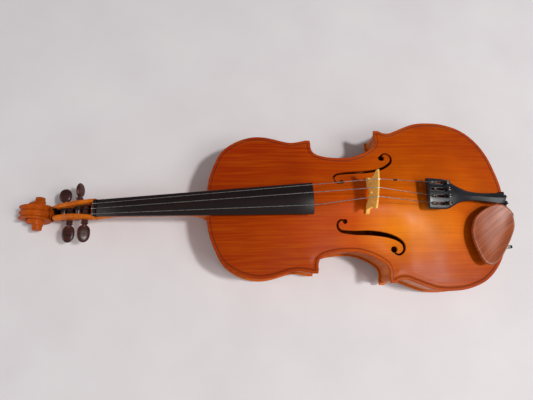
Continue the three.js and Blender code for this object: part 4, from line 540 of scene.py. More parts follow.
def gap_to_line(points, line):
    """Least distance of each point to a closed line, worked out for some points at a time."""
    points = np.asarray(points, dtype=float)
    ways = np.roll(line, -1, axis=0) - line
    squares = np.maximum((ways ** 2).sum(axis=1), 1e-12)
    gaps = []
    for start in range(0, len(points), POINTS_AT_ONCE):
        offsets = points[start:start + POINTS_AT_ONCE, None] - line[None]
        shares = np.clip((offsets * ways[None]).sum(axis=2) / squares, 0, 1)
        gaps.append(np.sqrt(((offsets - ways[None] * shares[..., None]) ** 2).sum(axis=2)).min(axis=1))
    return np.concatenate(gaps)


def within(points, line):
    """Whether each point lies inside a closed line."""
    points = np.asarray(points, dtype=float)
    inside = np.zeros(len(points), dtype=bool)
    for (x0, y0), (x1, y1) in zip(line, np.roll(line, -1, axis=0)):
        crosses = (y0 > points[:, 1]) != (y1 > points[:, 1])
        if y0 != y1:
            inside ^= crosses & (points[:, 0] < (x1 - x0) * (points[:, 1] - y0) / (y1 - y0) + x0)
    return inside


def loop_edges(start, count):
    """Edges round a closed line whose points are numbered from start."""
    return [(start + i, start + (i + 1) % count) for i in range(count)]


def grid_points(firsts, seconds, shift=0.0):
    """Points of a grid, with every second row shifted."""
    first, second = np.meshgrid(firsts, seconds)
    first[1::2] += shift
    return np.stack([first.ravel(), second.ravel()], axis=1)


def fill_plan(points, edges, is_wood, tolerance):
    """Plan points and upward triangles between the edges, where the test of their centres says wood."""
    plan, _, triangles, *_ = delaunay_2d_cdt([Vector(point) for point in points], edges, [], 0, tolerance)
    plan = np.array([tuple(point) for point in plan])
    triangles = np.array([tuple(triangle) for triangle in triangles])
    triangles = triangles[is_wood(plan[triangles].mean(axis=1))]
    corners = plan[triangles]
    first, second = corners[:, 1] - corners[:, 0], corners[:, 2] - corners[:, 0]
    downward = first[:, 0] * second[:, 1] - first[:, 1] * second[:, 0] < 0
    triangles[downward] = triangles[downward][:, ::-1]
    used = np.unique(triangles)
    renumber = np.full(len(plan), -1)
    renumber[used] = np.arange(len(used))
    return plan[used], renumber[triangles]


def slab_faces(triangles, count):
    """The triangles, the same ones turned over on the second set of vertices, and walls at open sides."""
    sides = {(triangle[i], triangle[(i + 1) % 3]) for triangle in map(tuple, triangles) for i in range(3)}
    walls = [(b, a, a + count, b + count) for a, b in sides if (b, a) not in sides]
    return [tuple(t) for t in triangles] + [tuple(t[::-1] + count) for t in triangles] + walls


# Outline of the sound box, from the same named sizes as the CAD model
UPPER_HALF, MIDDLE_HALF, LOWER_HALF = 95.0, 64.0, 116.0
UPPER_CORNER, LOWER_CORNER, CORNER_LENGTH, CORNER_POINTS = 139.5, 230.5, 6.5, 4
RIB_BOTTOM, RIB_TOP = 15.0, 53.0
FRONT_EDGE_TOP, BACK_EDGE_BOTTOM = 57.0, 11.0
FRONT_ARCH_RISE, BACK_ARCH_RISE = 15.0, 12.0
EDGE_OVERHANG, RIB_THICKNESS, EDGE_ROUNDING = 2.7, 1.2, 1.2
OUTLINE_STEP = 1.6
# Where a moved line has folded, its points lie nearer than the fair share of the depth
FAIR_SHARE, MITRE_LIMIT = 0.985, 0.45

UPPER_BOUT = [(0, 0), (.003, .16), (.024, .38), (.07, .575), (.14, .765), (.24, .885), (.36, .965),
              (.48, 1), (.58, .995), (.68, .965), (.77, .93), (.845, .912), (.9, .917), (1, .947)]
MIDDLE_BOUT = [(0, 1), (.01, .84), (.01, .62), (.03, .38), (.085, .21), (.17, .1), (.31, .02), (.445, 0),
               (.577, .013), (.7, .077), (.81, .18), (.907, .31), (.983, .46), (1.005, .64), (.995, .85),
               (1, 1)]
LOWER_BOUT = [(0, .899), (.033, .873), (.088, .866), (.155, .9), (.228, .944), (.313, .985), (.392, 1),
              (.471, 1), (.55, .99), (.64, .957), (.708, .918), (.78, .849), (.842, .76), (.89, .664),
              (.934, .535), (.97, .36), (.994, .19), (1, 0)]

upper_tip, upper_tip_half = UPPER_CORNER - CORNER_LENGTH, UPPER_HALF * UPPER_BOUT[-1][1]
lower_tip, lower_tip_half = LOWER_CORNER + CORNER_LENGTH, LOWER_HALF * LOWER_BOUT[0][1]
middle_tips = [upper_tip_half] * 8 + [lower_tip_half] * 8
upper_run = smooth_line([(upper_tip * a, UPPER_HALF * b) for a, b in UPPER_BOUT], step=OUTLINE_STEP)
middle_run = smooth_line([(mix(UPPER_CORNER, LOWER_CORNER, a), mix(MIDDLE_HALF, tip_half, b))
                          for tip_half, (a, b) in zip(middle_tips, MIDDLE_BOUT)], step=OUTLINE_STEP)
lower_run = smooth_line([(mix(lower_tip, BODY_LENGTH, a), LOWER_HALF * b) for a, b in LOWER_BOUT],
                        step=OUTLINE_STEP)


def corner_tip(start, end):
    """Points between the ends of a corner's blunt tip."""
    return start + (end - start) * np.linspace(0, 1, CORNER_POINTS + 2)[1:-1, None]


treble_half = np.concatenate([upper_run, corner_tip(upper_run[-1], middle_run[0]), middle_run,
                              corner_tip(middle_run[-1], lower_run[0]), lower_run])
outline = np.concatenate([treble_half, (treble_half * (1, -1))[-2:0:-1]])


def inset_raw(line, depth):
    """The closed line moved inwards with mitred corners, folds and all. The line runs clockwise in plan."""
    ways = np.roll(line, -1, axis=0) - line
    ways /= np.linalg.norm(ways, axis=1)[:, None]
    sides = np.stack([ways[:, 1], -ways[:, 0]], axis=1)
    bisector = sides + np.roll(sides, 1, axis=0)
    bisector /= np.linalg.norm(bisector, axis=1)[:, None]
    share = np.maximum((bisector * sides).sum(axis=1), MITRE_LIMIT)
    return line + bisector * (depth / share)[:, None]


def inset(line, depth):
    """The closed line moved inwards, with the points that would fold left out."""
    moved = inset_raw(line, depth)
    return moved[gap_to_line(moved, line) > depth * FAIR_SHARE - 0.01]


# Arching, and the hollow and rounding along the edge
ARCH_LENGTH = [(.015, 0), (.3, .93), (.47, 1), (.64, .95), (.985, 0)]
ARCH_WIDTH = [(0, .3), (.05, .5), (.17, .79), (.29, .7), (.45, .53), (.56, .58), (.66, .83), (.77, .96),
              (.88, .85), (.96, .5), (1, .3)]
CHANNEL_DEPTH, CHANNEL_INSET, CHANNEL_WIDTH = 0.55, 6.5, 3.2
PLATE_THICKNESS, PLATE_EDGE_THICKNESS, RIB_LEDGE = 3.4, 4.0, 6.0


def along_table(table, place_share):
    """A table's value at a place, with a level start and end between its entries."""
    places, values = np.array(table).T
    index = np.clip(np.searchsorted(places, place_share) - 1, 0, len(places) - 2)
    share = np.clip((place_share - places[index]) / (places[index + 1] - places[index]), 0, 1)
    return mix(values[index], values[index + 1], (1 - np.cos(np.pi * share)) / 2)


def arch_share(x, y):
    across = np.minimum(np.abs(y) / (along_table(ARCH_WIDTH, x / BODY_LENGTH) * LOWER_HALF), 1)
    return along_table(ARCH_LENGTH, x / BODY_LENGTH) * (1 + np.cos(np.pi * across)) / 2


def edge_fall(edge_gap):
    """How much a rounded edge has fallen at a distance in from the outline."""
    return EDGE_ROUNDING - np.sqrt(np.maximum(
        EDGE_ROUNDING ** 2 - np.maximum(EDGE_ROUNDING - edge_gap, 0) ** 2, 0))


def channel(edge_gap):
    """Depth of the hollow that runs inside the edge."""
    return CHANNEL_DEPTH * np.exp(-((edge_gap - CHANNEL_INSET) / CHANNEL_WIDTH) ** 2)


def front_top(x, y, edge_gap=None):
    """Height of the front's outer face, with its worked edge where the edge gap is given."""
    height = FRONT_EDGE_TOP + FRONT_ARCH_RISE * arch_share(x, y)
    return height if edge_gap is None else height - channel(edge_gap) - edge_fall(edge_gap)


def back_under(x, y, edge_gap=None):
    height = BACK_EDGE_BOTTOM - BACK_ARCH_RISE * arch_share(x, y)
    return np.maximum(height if edge_gap is None else height + channel(edge_gap) + edge_fall(edge_gap), 0)


def front_inner(x, y, edge_gap):
    """The front's inner face: level over the ribs, and one plate's thickness below the arch inside them."""
    level = FRONT_EDGE_TOP - PLATE_EDGE_THICKNESS
    arched = front_top(x, y) - PLATE_THICKNESS
    return np.maximum(level + edge_fall(edge_gap), np.where(edge_gap > RIB_LEDGE, arched, level))


def back_inner(x, y, edge_gap):
    level = BACK_EDGE_BOTTOM + PLATE_EDGE_THICKNESS
    arched = back_under(x, y) + PLATE_THICKNESS
    return np.minimum(level - edge_fall(edge_gap), np.where(edge_gap > RIB_LEDGE, arched, level))


# Sound holes: a slot that swells in its middle and ends in round eyes
HOLE_ROUTE = [(176.5, 26.6), (171.5, 24.6), (167.3, 27.6), (166.8, 33), (170.5, 37.6), (178, 39.4),
              (190, 40.6), (204, 41), (217, 42.4), (229, 45), (239.5, 49.8), (246.5, 56.5), (246.8, 64.5),
              (241, 69.2), (236, 67), (235.2, 62.6)]
# An eye's end of the route and its radius
HOLE_EYES = ((0, 3.1), (-1, 4.2))
# The treble hole is side 1 and the bass hole side -1
HOLE_NARROW, HOLE_WIDE = 2.2, {1: 4.4, -1: 6.4}
HOLE_STRETCH, HOLE_REACH = {1: 1.5, -1: 4.5}, 65.0
hole_line = smooth_line(HOLE_ROUTE, step=1.0)


def hole_outlines(side):
    """Closed lines that together bound one sound hole, and a test for points inside it."""
    line = hole_line * (1, side)
    line[:, 0] += HOLE_STRETCH[side] * np.clip((hole_line[:, 0] - HOLE_ROUTE[0][0]) / HOLE_REACH, 0, 1)
    shares = np.linspace(0, 1, len(line))
    halves = mix(HOLE_NARROW, HOLE_WIDE[side], np.sin(np.pi * shares) ** 1.5) / 2
    ways = np.gradient(line, axis=0)
    ways /= np.linalg.norm(ways, axis=1)[:, None]
    offsets = np.stack([-ways[:, 1], ways[:, 0]], axis=1) * halves[:, None]
    slot = np.concatenate([line + offsets, (line - offsets)[::-1]])
    eyes = [line[end] + np.array(circle(radius, 28)) for end, radius in HOLE_EYES]

    def inside(points):
        gaps = np.linalg.norm(points[:, None] - line[None], axis=2)
        hit = gaps.min(axis=1) < halves[gaps.argmin(axis=1)]
        for end, radius in HOLE_EYES:
            hit |= gaps[:, end] < radius
        return hit
    return [slot, *eyes], inside


# Front and back
PURFLING_LINES = (3.5, 3.95, 4.5, 4.95)
PLATE_INSETS = (0.12, 0.4, 0.75, 1.2, 2.2, *PURFLING_LINES, 6.2, 7.8, 9.6)
INNER_FROM_EDGE, INNER_FROM_HOLE = 10.6, 1.2


def plate(name, holes, upper, lower, outer_look, stands_for, slot, spacing):
    """A carved plate: both faces over one set of plan triangles, with walls round its edge and holes."""
    points, edges = list(outline), loop_edges(0, len(outline))
    for depth in PLATE_INSETS:
        ring = inset(outline, depth)
        if depth in PURFLING_LINES:
            lengths = np.linalg.norm(np.roll(ring, -1, axis=0) - ring, axis=1)
            edges += [edge for edge, length in zip(loop_edges(len(points), len(ring)), lengths)
                      if length < 4 * OUTLINE_STEP]
        points += list(ring)
    inner = grid_points(np.arange(4, BODY_LENGTH - 2, spacing),
                        np.arange(4 - LOWER_HALF, LOWER_HALF - 3, spacing), spacing / 2)
    inner = inner[within(inner, outline)]
    inner = inner[gap_to_line(inner, outline) > INNER_FROM_EDGE]
    for lines, inside in holes:
        for line in lines:
            edges += loop_edges(len(points), len(line))
            points += list(line)
            inner = inner[gap_to_line(inner, line) > INNER_FROM_HOLE]
        inner = inner[~inside(inner)]

    def is_wood(centres):
        keep = within(centres, outline)
        for _, inside in holes:
            keep &= ~inside(centres)
        return keep

    plan, triangles = fill_plan([*points, *inner], edges, is_wood, 1e-4)
    edge_gap = gap_to_line(plan, outline)
    vertices = np.concatenate([np.column_stack([plan, face(*plan.T, edge_gap)]) for face in (upper, lower)])
    faces = slab_faces(triangles, len(plan))
    centre_gap = gap_to_line(plan[triangles].mean(axis=1), outline)
    face_looks = np.zeros(len(faces), dtype=int)
    # Between the first two lines and between the last two the faces are dark
    face_looks[:2 * len(triangles)] = np.tile(np.searchsorted(PURFLING_LINES, centre_gap) % 2, 2)
    sharpen(add_piece(name, vertices, faces, [outer_look, purfling_look], stands_for=[stands_for], slot=slot,
                      face_looks=face_looks), 50)


front_holes = [hole_outlines(side) for side in (1, -1)]
plate("front", front_holes, front_top, front_inner, front_look, "front_plate", "spruce", 4.0)
plate("back", [], back_inner, back_under, back_look, "back_plate", "maple", 6.0)

# The back's button reaches under the heel
BUTTON_RADIUS, BUTTON_ROOT = 11.0, 1.2
rings = []
for level, inset_by in ((BACK_EDGE_BOTTOM + .05, 1.0), (BACK_EDGE_BOTTOM + .3, .4),
                        (BACK_EDGE_BOTTOM + .9, 0), (RIB_BOTTOM - .8, 0), (RIB_BOTTOM - .4, .25)):
    radius = BUTTON_RADIUS - inset_by
    ring = [(radius * math.cos(a), radius * math.sin(a), level)
            for a in np.linspace(np.pi / 2, np.pi * 1.5, 33)]
    rings.append([(BUTTON_ROOT, radius, level), *ring, (BUTTON_ROOT, -radius, level)])
sharpen(add_piece("back_button", *loft(rings), back_look, slot="maple"), 50)

# Ribs: thin bent strips between the plates, mitred at the corners
last_upper = len(upper_run) - 1
first_middle = len(upper_run) + CORNER_POINTS
last_middle = first_middle + len(middle_run) - 1
first_lower = last_middle + 1 + CORNER_POINTS
upper_mitre, lower_mitre = (last_upper, first_middle), (last_middle, first_lower)
# Outline points of the treble half, the neighbours met at the start and the end, and a cut across
RIBS = {"upper": (range(last_upper + 1), None, upper_mitre, 15.5),
        "middle": (range(first_middle, last_middle + 1), upper_mitre, lower_mitre, None),
        "lower": (range(first_lower, len(treble_half)), lower_mitre, None, 0.15)}


def rib(rib_name, side_name, side):
    """A strip bent along its run of the outline, mitred to its neighbours or cut off."""
    run, start_mitre, end_mitre, cut_across = RIBS[rib_name]
    inside = EDGE_OVERHANG + RIB_THICKNESS
    fair = gap_to_line(inset_raw(outline, inside), outline) > inside * FAIR_SHARE
    lines = []
    for depth in (EDGE_OVERHANG, inside):
        moved = inset_raw(outline, depth)
        starts, ends = ([moved[list(mitre)].mean(axis=0)] if mitre else []
                        for mitre in (start_mitre, end_mitre))
        lines.append(np.array(starts + [moved[i] for i in run if fair[i]] + ends))
    if cut_across is not None:
        keep = lines[0][:, 1] > cut_across
        lines = [line[keep] for line in lines]
        for line in lines:
            line[0 if line[0][1] < line[-1][1] else -1, 1] = cut_across
    outer, inner = (line * (1, side) for line in lines)
    rings = [[(*a, RIB_BOTTOM), (*a, RIB_TOP), (*b, RIB_TOP), (*b, RIB_BOTTOM)] for a, b in zip(outer, inner)]
    piece = add_piece(f"{rib_name}_rib_strip_{side_name}", *loft(rings), rib_look,
                      stands_for=[f"{rib_name}_rib_{side_name}"], slot="maple")
    lengths = np.concatenate([[0], np.cumsum(np.linalg.norm(np.diff(outer, axis=0), axis=1))]) * MILLIMETRE
    layer = piece.data.uv_layers.new(name="along")
    for loop, spot in zip(piece.data.loops, layer.data):
        spot.uv = (lengths[loop.vertex_index // 4], piece.data.vertices[loop.vertex_index].co.z)
    sharpen(piece, 40)


for side_name, side in (("treble", 1), ("bass", -1)):
    for rib_name in RIBS:
        rib(rib_name, side_name, side)

# Fingerboard, nut and neck
NUT_ALONG, BOARD_LENGTH = -139.0, 273.0
BOARD_CROWN, BOARD_WIDTH = (52.5, 88.8), (22.0, 40.5)
BOARD_RADIUS, BOARD_SIDE, BOARD_SCOOP = 42.0, 5.0, 2.6
GLUE_GAP = 0.3
NUT_THICKNESS, NUT_PROUD = 5.0, 0.9
BOARD_END = NUT_ALONG + BOARD_LENGTH
# Each string's peg, radius, places across at the nut, bridge and tailpiece, and whether it hangs slack
STRINGS = {"high": ("a", 0.4, 5.0, 11.1, 13.8, False), "middle": ("d", 0.45, -1.6, 0.0, -4.6, False),
           "low": ("g", 0.5, -8.2, -11.1, -13.8, True)}


def board_share(x):
    return (x - NUT_ALONG) / BOARD_LENGTH


def board_half(x):
    return mix(*BOARD_WIDTH, board_share(x)) / 2


def board_top(x, y):
    return mix(*BOARD_CROWN, board_share(x)) - (BOARD_RADIUS - np.sqrt(BOARD_RADIUS ** 2 - y ** 2))


def board_under(x):
    return board_top(x, board_half(x)) - BOARD_SIDE


def board_ring(x, inset_by):
    """Cross-section of the fingerboard; past the sound box's edge its underside is scooped out."""
    half = board_half(x) - inset_by
    tops = np.linspace(half, -half, 25)
    bottoms = np.linspace(-half + GLUE_GAP, half - GLUE_GAP, 11)
    scoop = BOARD_SCOOP * np.clip((x - 8) / 30, 0, 1)
    unders = board_under(x) + inset_by + scoop * np.clip(1 - (bottoms / (half - 3)) ** 4, 0, 1)
    return [(x, y, board_top(x, y) - inset_by) for y in tops] + [(x, y, z) for y, z in zip(bottoms, unders)]


board_stations = [(NUT_ALONG, 0.3), *((x, 0) for x in (NUT_ALONG + 0.5, -100, -50, 0, 8, 24, 38, 80, 110)),
                  (BOARD_END - 0.9, 0), (BOARD_END - 0.3, 0.25), (BOARD_END, 0.7)]
board = add_piece("fingerboard_wood", *loft([board_ring(*station) for station in board_stations]), ebony_look,
                  stands_for=["fingerboard"], slot="board")
sharpen(soften(board, 0.5, 2, 50), 40)

# A station's share of the way through the nut, and how far its top stands above the board
NUT_SHAPE = [(0.0, -1.5), (0.06, -0.7), (0.2, 0.1), (0.4, 0.65), (0.6, 0.86), (0.85, 0.9), (0.97, 0.75),
             (1.0, 0.4)]
nut_front = NUT_ALONG - GLUE_GAP
nut_back = nut_front - NUT_THICKNESS


def nut_ring(x, rise):
    """Cross-section of the nut, with a round notch for each string."""
    half = board_half(NUT_ALONG)
    ys = np.linspace(half, -half, 89)
    tops = board_top(NUT_ALONG, ys) + rise
    for _, radius, across, *_ in STRINGS.values():
        notch = np.sqrt(np.maximum((radius + 0.2) ** 2 - (ys - across) ** 2, 0))
        level = board_top(NUT_ALONG, across) + NUT_PROUD + radius / 2
        tops = np.where(notch > 0, np.minimum(tops, level - notch), tops)
    under = board_under(NUT_ALONG)
    return [(x, y, z) for y, z in zip(ys, tops)] + [(x, -half, under), (x, half, under)]


nut_body = loft([nut_ring(mix(nut_back, nut_front, share), rise) for share, rise in NUT_SHAPE])
sharpen(add_piece("nut_ebony", *nut_body, ebony_look, stands_for=["nut"], slot="ebony"), 40)

HEEL_HEIGHT, HEEL_FOOT, HEEL_ROOT = 26.0, 15.3, 7.0
HEEL_WIDTHS = (31.0, 21.0)
NECK_DEPTHS, NECK_FLARE, CHEEK = (13.5, 16.0), 2.2, 3.4
HEEL_CURVE = [(-60, 0), (-40, 0), (-27, .06), (-18.7, .2), (-13, .42), (-8.3, .7), (-5, .93), (-2.6, 1),
              (HEEL_ROOT, 1), (20, 1)]
NECK_STATIONS = [NUT_ALONG - NUT_THICKNESS - CHEEK, -143, NUT_ALONG, -134, -130, -126, -122, -119, -115,
                 -100, -76, -60, -50, -42, -36, -31, -27, -24, -21, -18.5, -16, -13.5, -11.5, -9.5, -8,
                 -6.5, -5, -3.8, -2.4, 0, 3, HEEL_ROOT]
heel_line = smooth_line([(x, share * HEEL_HEIGHT) for x, share in HEEL_CURVE])


def neck_ring(x):
    """Cross-section of the neck: square under the nut, round in the hand, deep and narrow at the heel."""
    heel = float(np.clip(table_curve(heel_line, x) / HEEL_HEIGHT, 0, 1))
    top = board_under(max(x, NUT_ALONG)) - GLUE_GAP
    depth = mix(*NECK_DEPTHS, np.clip((x - NUT_ALONG) / -NUT_ALONG, 0, 1))
    bottom = mix(top - depth, HEEL_FOOT, heel)
    half_top = min(board_half(min(max(x, NUT_ALONG), 0)) - GLUE_GAP, HEEL_WIDTHS[0] / 2)
    half_bottom = mix(half_top, HEEL_WIDTHS[1] / 2, heel)
    square = mix(mix(1, 0.5, np.clip((-118 - x) / 18, 0, 1)), 0.35, heel)
    flare = NECK_FLARE * np.clip((-112 - x) / 30, 0, 1)
    ring = []
    for angle in np.linspace(0, np.pi, 33):
        rise = np.sin(angle) ** square
        across = np.sign(np.cos(angle)) * abs(np.cos(angle)) ** square
        half = mix(half_top, half_bottom, rise) + flare * math.sin(np.pi * min(rise / 0.8, 1))
        ring.append((x, across * half, mix(top, bottom, rise)))
    return ring


sharpen(add_piece("neck_handle", *loft([neck_ring(x) for x in NECK_STATIONS]), head_look, stands_for=["neck"],
                  slot="maple"), 50)

# Pegbox: a trough with rounded cheeks that narrows and drops towards the throat of the scroll
PEGBOX_START, PEGBOX_LENGTH = nut_back - GLUE_GAP, 56.0
PEGBOX_WIDTHS, PEGBOX_BOTTOMS, PEGBOX_TOP_END = (25.0, 19.0), (29.0, 11.0), 32.0
CHEEK_BELLY, CHEEK_THICKNESSES, TROUGH_FLOOR = 1.5, (3.6, 4.4), 5.0
PEGBOX_TOP_CURVE = [(-.1, 0), (0, 0), (.35, .14), (.7, .5), (1, 1), (1.1, 1.5), (1.2, 1.9)]
PEGBOX_STATIONS = [-0.06, 0, 0.01, 0.03, 0.05, 0.08, 0.15, 0.25, 0.35, 0.45, 0.55, 0.65, 0.75, 0.82, 0.88,
                   0.93, 0.97, 1.01, 1.05, 1.09, 1.13]
pegbox_top_start = float(board_top(NUT_ALONG, board_half(NUT_ALONG))) - 0.6
pegbox_top_line = smooth_line([(share, mix(pegbox_top_start, PEGBOX_TOP_END, drop))
                               for share, drop in PEGBOX_TOP_CURVE])


def pegbox_half(x):
    return mix(*PEGBOX_WIDTHS, min((PEGBOX_START - x) / PEGBOX_LENGTH, 1)) / 2


def both_sides(half_line):
    """Points that run from one edge to the middle, carried on as their mirror image."""
    return half_line + mirrored(half_line)[-2::-1]


def pegbox_ring(share):
    """Half round outside, a trough inside that is deepest in the middle of its length."""
    x = PEGBOX_START - PEGBOX_LENGTH * share
    half = pegbox_half(x) * (1 - 0.12 * max(share - 0.93, 0) / 0.2)
    top, bottom = table_curve(pegbox_top_line, share), mix(*PEGBOX_BOTTOMS, share)
    belly = CHEEK_BELLY * math.sin(np.pi * min(max(share, 0), 1)) ** 0.8
    inner = half - mix(*CHEEK_THICKNESSES, min(share, 1)) - belly
    floor_share = np.clip(share / 0.08, 0, 1)
    depth = (top - bottom - TROUGH_FLOOR) * np.clip(np.sin(np.pi / 2 * floor_share), 0.02, 1)
    floor = top - depth
    tight = inner * (1 - 0.3 * (1 - floor_share))
    outside = [(half - 0.9, top), (half - 0.3, top - 0.4), (half + 0.1, top - 1.1),
               (half + 0.6, mix(top, bottom, .35)), (half + 0.4, mix(top, bottom, .6)),
               (half * 0.93, mix(top, bottom, .8)), (half * .76, mix(top, bottom, .93)),
               (half * 0.52, bottom + 0.15), (half * 0.2, bottom + 0.5), (0, bottom + 0.75)]
    well = [(-inner - 0.5, top), (-inner - 0.12, top - 0.2), (-inner, top - min(0.6, depth / 4)),
            (-tight * 0.96, mix(floor, top, 0.12)), (-tight * 0.8, floor), (0, floor - 0.2 * floor_share)]
    return [(x, y, z) for y, z in both_sides(outside) + both_sides(well)]


def spot_of(polygon):
    """A face's middle in working millimetres."""
    x, y, z = np.array(polygon.center) / MILLIMETRE
    return x - FRAME_SHIFT, y, z


def lies_in_shade(x, y, z):
    """Whether a face of the pegbox lies deep in the trough or in the scroll's throat."""
    share = (PEGBOX_START - x) / PEGBOX_LENGTH
    top, bottom = table_curve(pegbox_top_line, share), mix(*PEGBOX_BOTTOMS, share)
    if share > 1.02 and z > mix(top, bottom, 0.4):
        return True
    in_well = abs(y) < pegbox_half(x) - 3.8 and z > bottom + 2.5 and share > 0.02
    return in_well and (z < top - (10.5 if y > 0 else 2.0) or share > 0.93)


trough = add_piece("pegbox_trough", *loft([pegbox_ring(share) for share in PEGBOX_STATIONS]),
                   [head_look, trough_look], stands_for=["neck"], slot="maple")
for polygon in trough.data.polygons:
    polygon.material_index = int(lies_in_shade(*spot_of(polygon)))
sharpen(trough, 45)

# Scroll: a band with two flutes that winds inwards while its sides step outwards to the eyes
SCROLL_X, SCROLL_Z = -226.0, 23.4
SCROLL_RADIUS, EYE_RADIUS = 22.2, 7.0
SCROLL_HALVES, EYE_HALF, WIDEN_POWER = (7.5, 17.2), 22.4, 1.9
EYE_SHIFT, EYE_BUTTON = 3.0, 6.0
SCROLL_TURNS, SPIRAL_TURNS, BAND_TURNS, BAND_START = 2.5, 2.0, 1.3, -0.05
SHRINK_FROM, SHRINK_POWER = 0.25, 1.5
TURN_STEPS = 72
LEDGE_DIP = 1.7
# Shares of the half width, and how deep the band's flutes lie there
BAND_PROFILE = [(-1.0, 0.7), (-0.95, 0.12), (-0.86, 0.0), (-0.78, 0.35), (-0.66, 1.5), (-0.5, 2.35),
                (-0.34, 2.1), (-0.2, 1.1), (-0.1, 0.3), (0.0, 0.0)]
# Shares of the button's radius, and how far inside the eye's outer face they lie
EYE_PROFILE = [(1.06, 8.0), (1.02, 5.2), (0.98, 4.0), (0.98, 1.1), (0.94, 0.5), (0.85, 0.2), (0.5, 0.05),
               (0.02, 0)]
# Places across and radii of one half of the solid core
CORE_HALF = [(-14.5, 4.5), (-14.0, 5.8), (-8.2, 6.2), (-7.4, 9.0), (-5.6, 11.0), (-5.2, 14.0)]


def scroll_radius(turns):
    if turns > SPIRAL_TURNS:
        return EYE_RADIUS * (1 - 0.42 * min((turns - SPIRAL_TURNS) / 0.75, 1))
    share = max(turns - SHRINK_FROM, 0) / (SPIRAL_TURNS - SHRINK_FROM)
    return mix(SCROLL_RADIUS, EYE_RADIUS, share ** SHRINK_POWER)


def scroll_half(turns):
    return mix(*SCROLL_HALVES, min(turns / SPIRAL_TURNS, 1) ** WIDEN_POWER)


def scroll_point(turns, radius, across):
    angle = -2 * math.pi * turns
    shift = EYE_SHIFT * min(max(turns, 0) / SPIRAL_TURNS, 1)
    return (SCROLL_X + shift + radius * math.cos(angle), across, SCROLL_Z + radius * math.sin(angle))


def open_strip(rings, turned_over):
    """An open surface through the rings."""
    faces = grid_faces(len(rings), len(rings[0]))
    return np.concatenate(rings), [face[::-1] for face in faces] if turned_over else faces


def scroll_side(side):
    """One side of the scroll: a bevelled rim, then a dished ledge in to the next turn's wall."""
    rings = []
    for step in range(int(TURN_STEPS * SCROLL_TURNS) + 1):
        turns = step / TURN_STEPS
        radius, inner, half = scroll_radius(turns), scroll_radius(turns + 1), scroll_half(turns)
        foot = scroll_half(turns - 1) - LEDGE_DIP if turns >= 1 else half - 1.6
        profile = [(radius, foot), (radius, half - 0.7), (radius - 0.18, half - 0.22), (radius - 0.6, half),
                   (radius - min(2.2, (radius - inner) * 0.4), half - 0.05),
                   (mix(radius, inner, 0.62), half - 0.75), (mix(radius, inner, 0.85), half - 1.35),
                   (inner, half - LEDGE_DIP)]
        rings.append([scroll_point(turns, r, side * y) for r, y in profile])
    return open_strip(rings, side > 0)


def scroll_band():
    """The fluted band that runs over the back of the scroll."""
    rings = []
    for step in range(int(TURN_STEPS * BAND_TURNS) + 1):
        turns = step / TURN_STEPS + BAND_START
        radius, half = scroll_radius(turns), scroll_half(max(turns, 0))
        fade = np.clip((turns - BAND_START) / 0.12, 0.15, 1)
        rings.append([scroll_point(turns, radius - dip * fade, share * half)
                      for share, dip in both_sides(BAND_PROFILE)])
    return open_strip(rings, True)


def scroll_start(side):
    """The face where the outermost turn's side grows out of the pegbox."""
    radius, inner, half = scroll_radius(0), scroll_radius(1), scroll_half(0)
    corners = [(radius, half - 1.6), (radius, half), (inner, half - LEDGE_DIP), (inner, 0), (radius, 0)]
    return np.array([scroll_point(0, r, side * y) for r, y in corners]), [tuple(range(len(corners)))]


def round_body(shift, sections):
    """A body round the axis across the scroll, from places across and radii."""
    return loft([[(SCROLL_X + shift + u, across, SCROLL_Z + v) for u, v in circle(radius, 40)]
                 for across, radius in sections])


# The core behind the ledges keeps any view from passing through the scroll
scroll_core = round_body(EYE_SHIFT / 2, CORE_HALF + mirrored(CORE_HALF)[::-1])
scroll_eyes = [round_body(EYE_SHIFT, [(side * (EYE_HALF - fall), EYE_BUTTON * share)
                                      for share, fall in EYE_PROFILE]) for side in (1, -1)]
scroll_body = joined(scroll_side(1), scroll_side(-1), scroll_band(), *scroll_eyes, scroll_core,
                     scroll_start(1), scroll_start(-1))
sharpen(add_piece("scroll_carving", *scroll_body, scroll_look, stands_for=["neck"], slot="maple"), 38)

# Pegs: a tapered shaft, turned collars, and a flat heart-shaped head on a thin neck
# Each peg's x and z, side, gap to its head, turn, and how much nearer its head sits
PEGS = {"c": (-157.0, 37.829, -1, 8.0, 0.45, 3.5), "g": (-179.0, 31.010, -1, 8.0, 0.1, 3.0),
        "a": (-167.0, 35.504, 1, 6.5, 1.35, 1.5), "d": (-188.5, 28.146, 1, 2.0, 0.15, 0.8)}
PEG_SHAFT, PEG_TIP, PEG_COLLAR, PEG_PROUD = 3.9, 3.3, 4.6, 1.0
PEG_HEAD_LENGTH, PEG_HEAD_WIDTH, PEG_HEAD_THICKNESS = 18.0, 15.5, 8.0
BASS_HEAD_LONGER = 1.5
PEG_START = [(0, 0), (0, PEG_TIP * .7), (0.25, PEG_TIP * .92), (0.8, PEG_TIP)]
# Collars, from where the shaft ends
PEG_END = [(-1.6, PEG_SHAFT), (-1.1, PEG_SHAFT - 0.5), (-0.7, PEG_SHAFT - 0.4), (-0.2, PEG_COLLAR - 0.2),
           (0.4, PEG_COLLAR), (1.0, PEG_COLLAR - 0.1), (1.5, PEG_SHAFT - 0.7), (1.9, PEG_SHAFT - 0.5),
           (2.4, PEG_SHAFT - 0.8), (3.0, 2.4), (5.0, 2.2), (5.0, 0)]
PEG_HEAD_SHARES = [0.0, 0.01, 0.035, 0.08, *np.linspace(0.14, 0.88, 15), 0.93, 0.97, 0.99, 1.0]


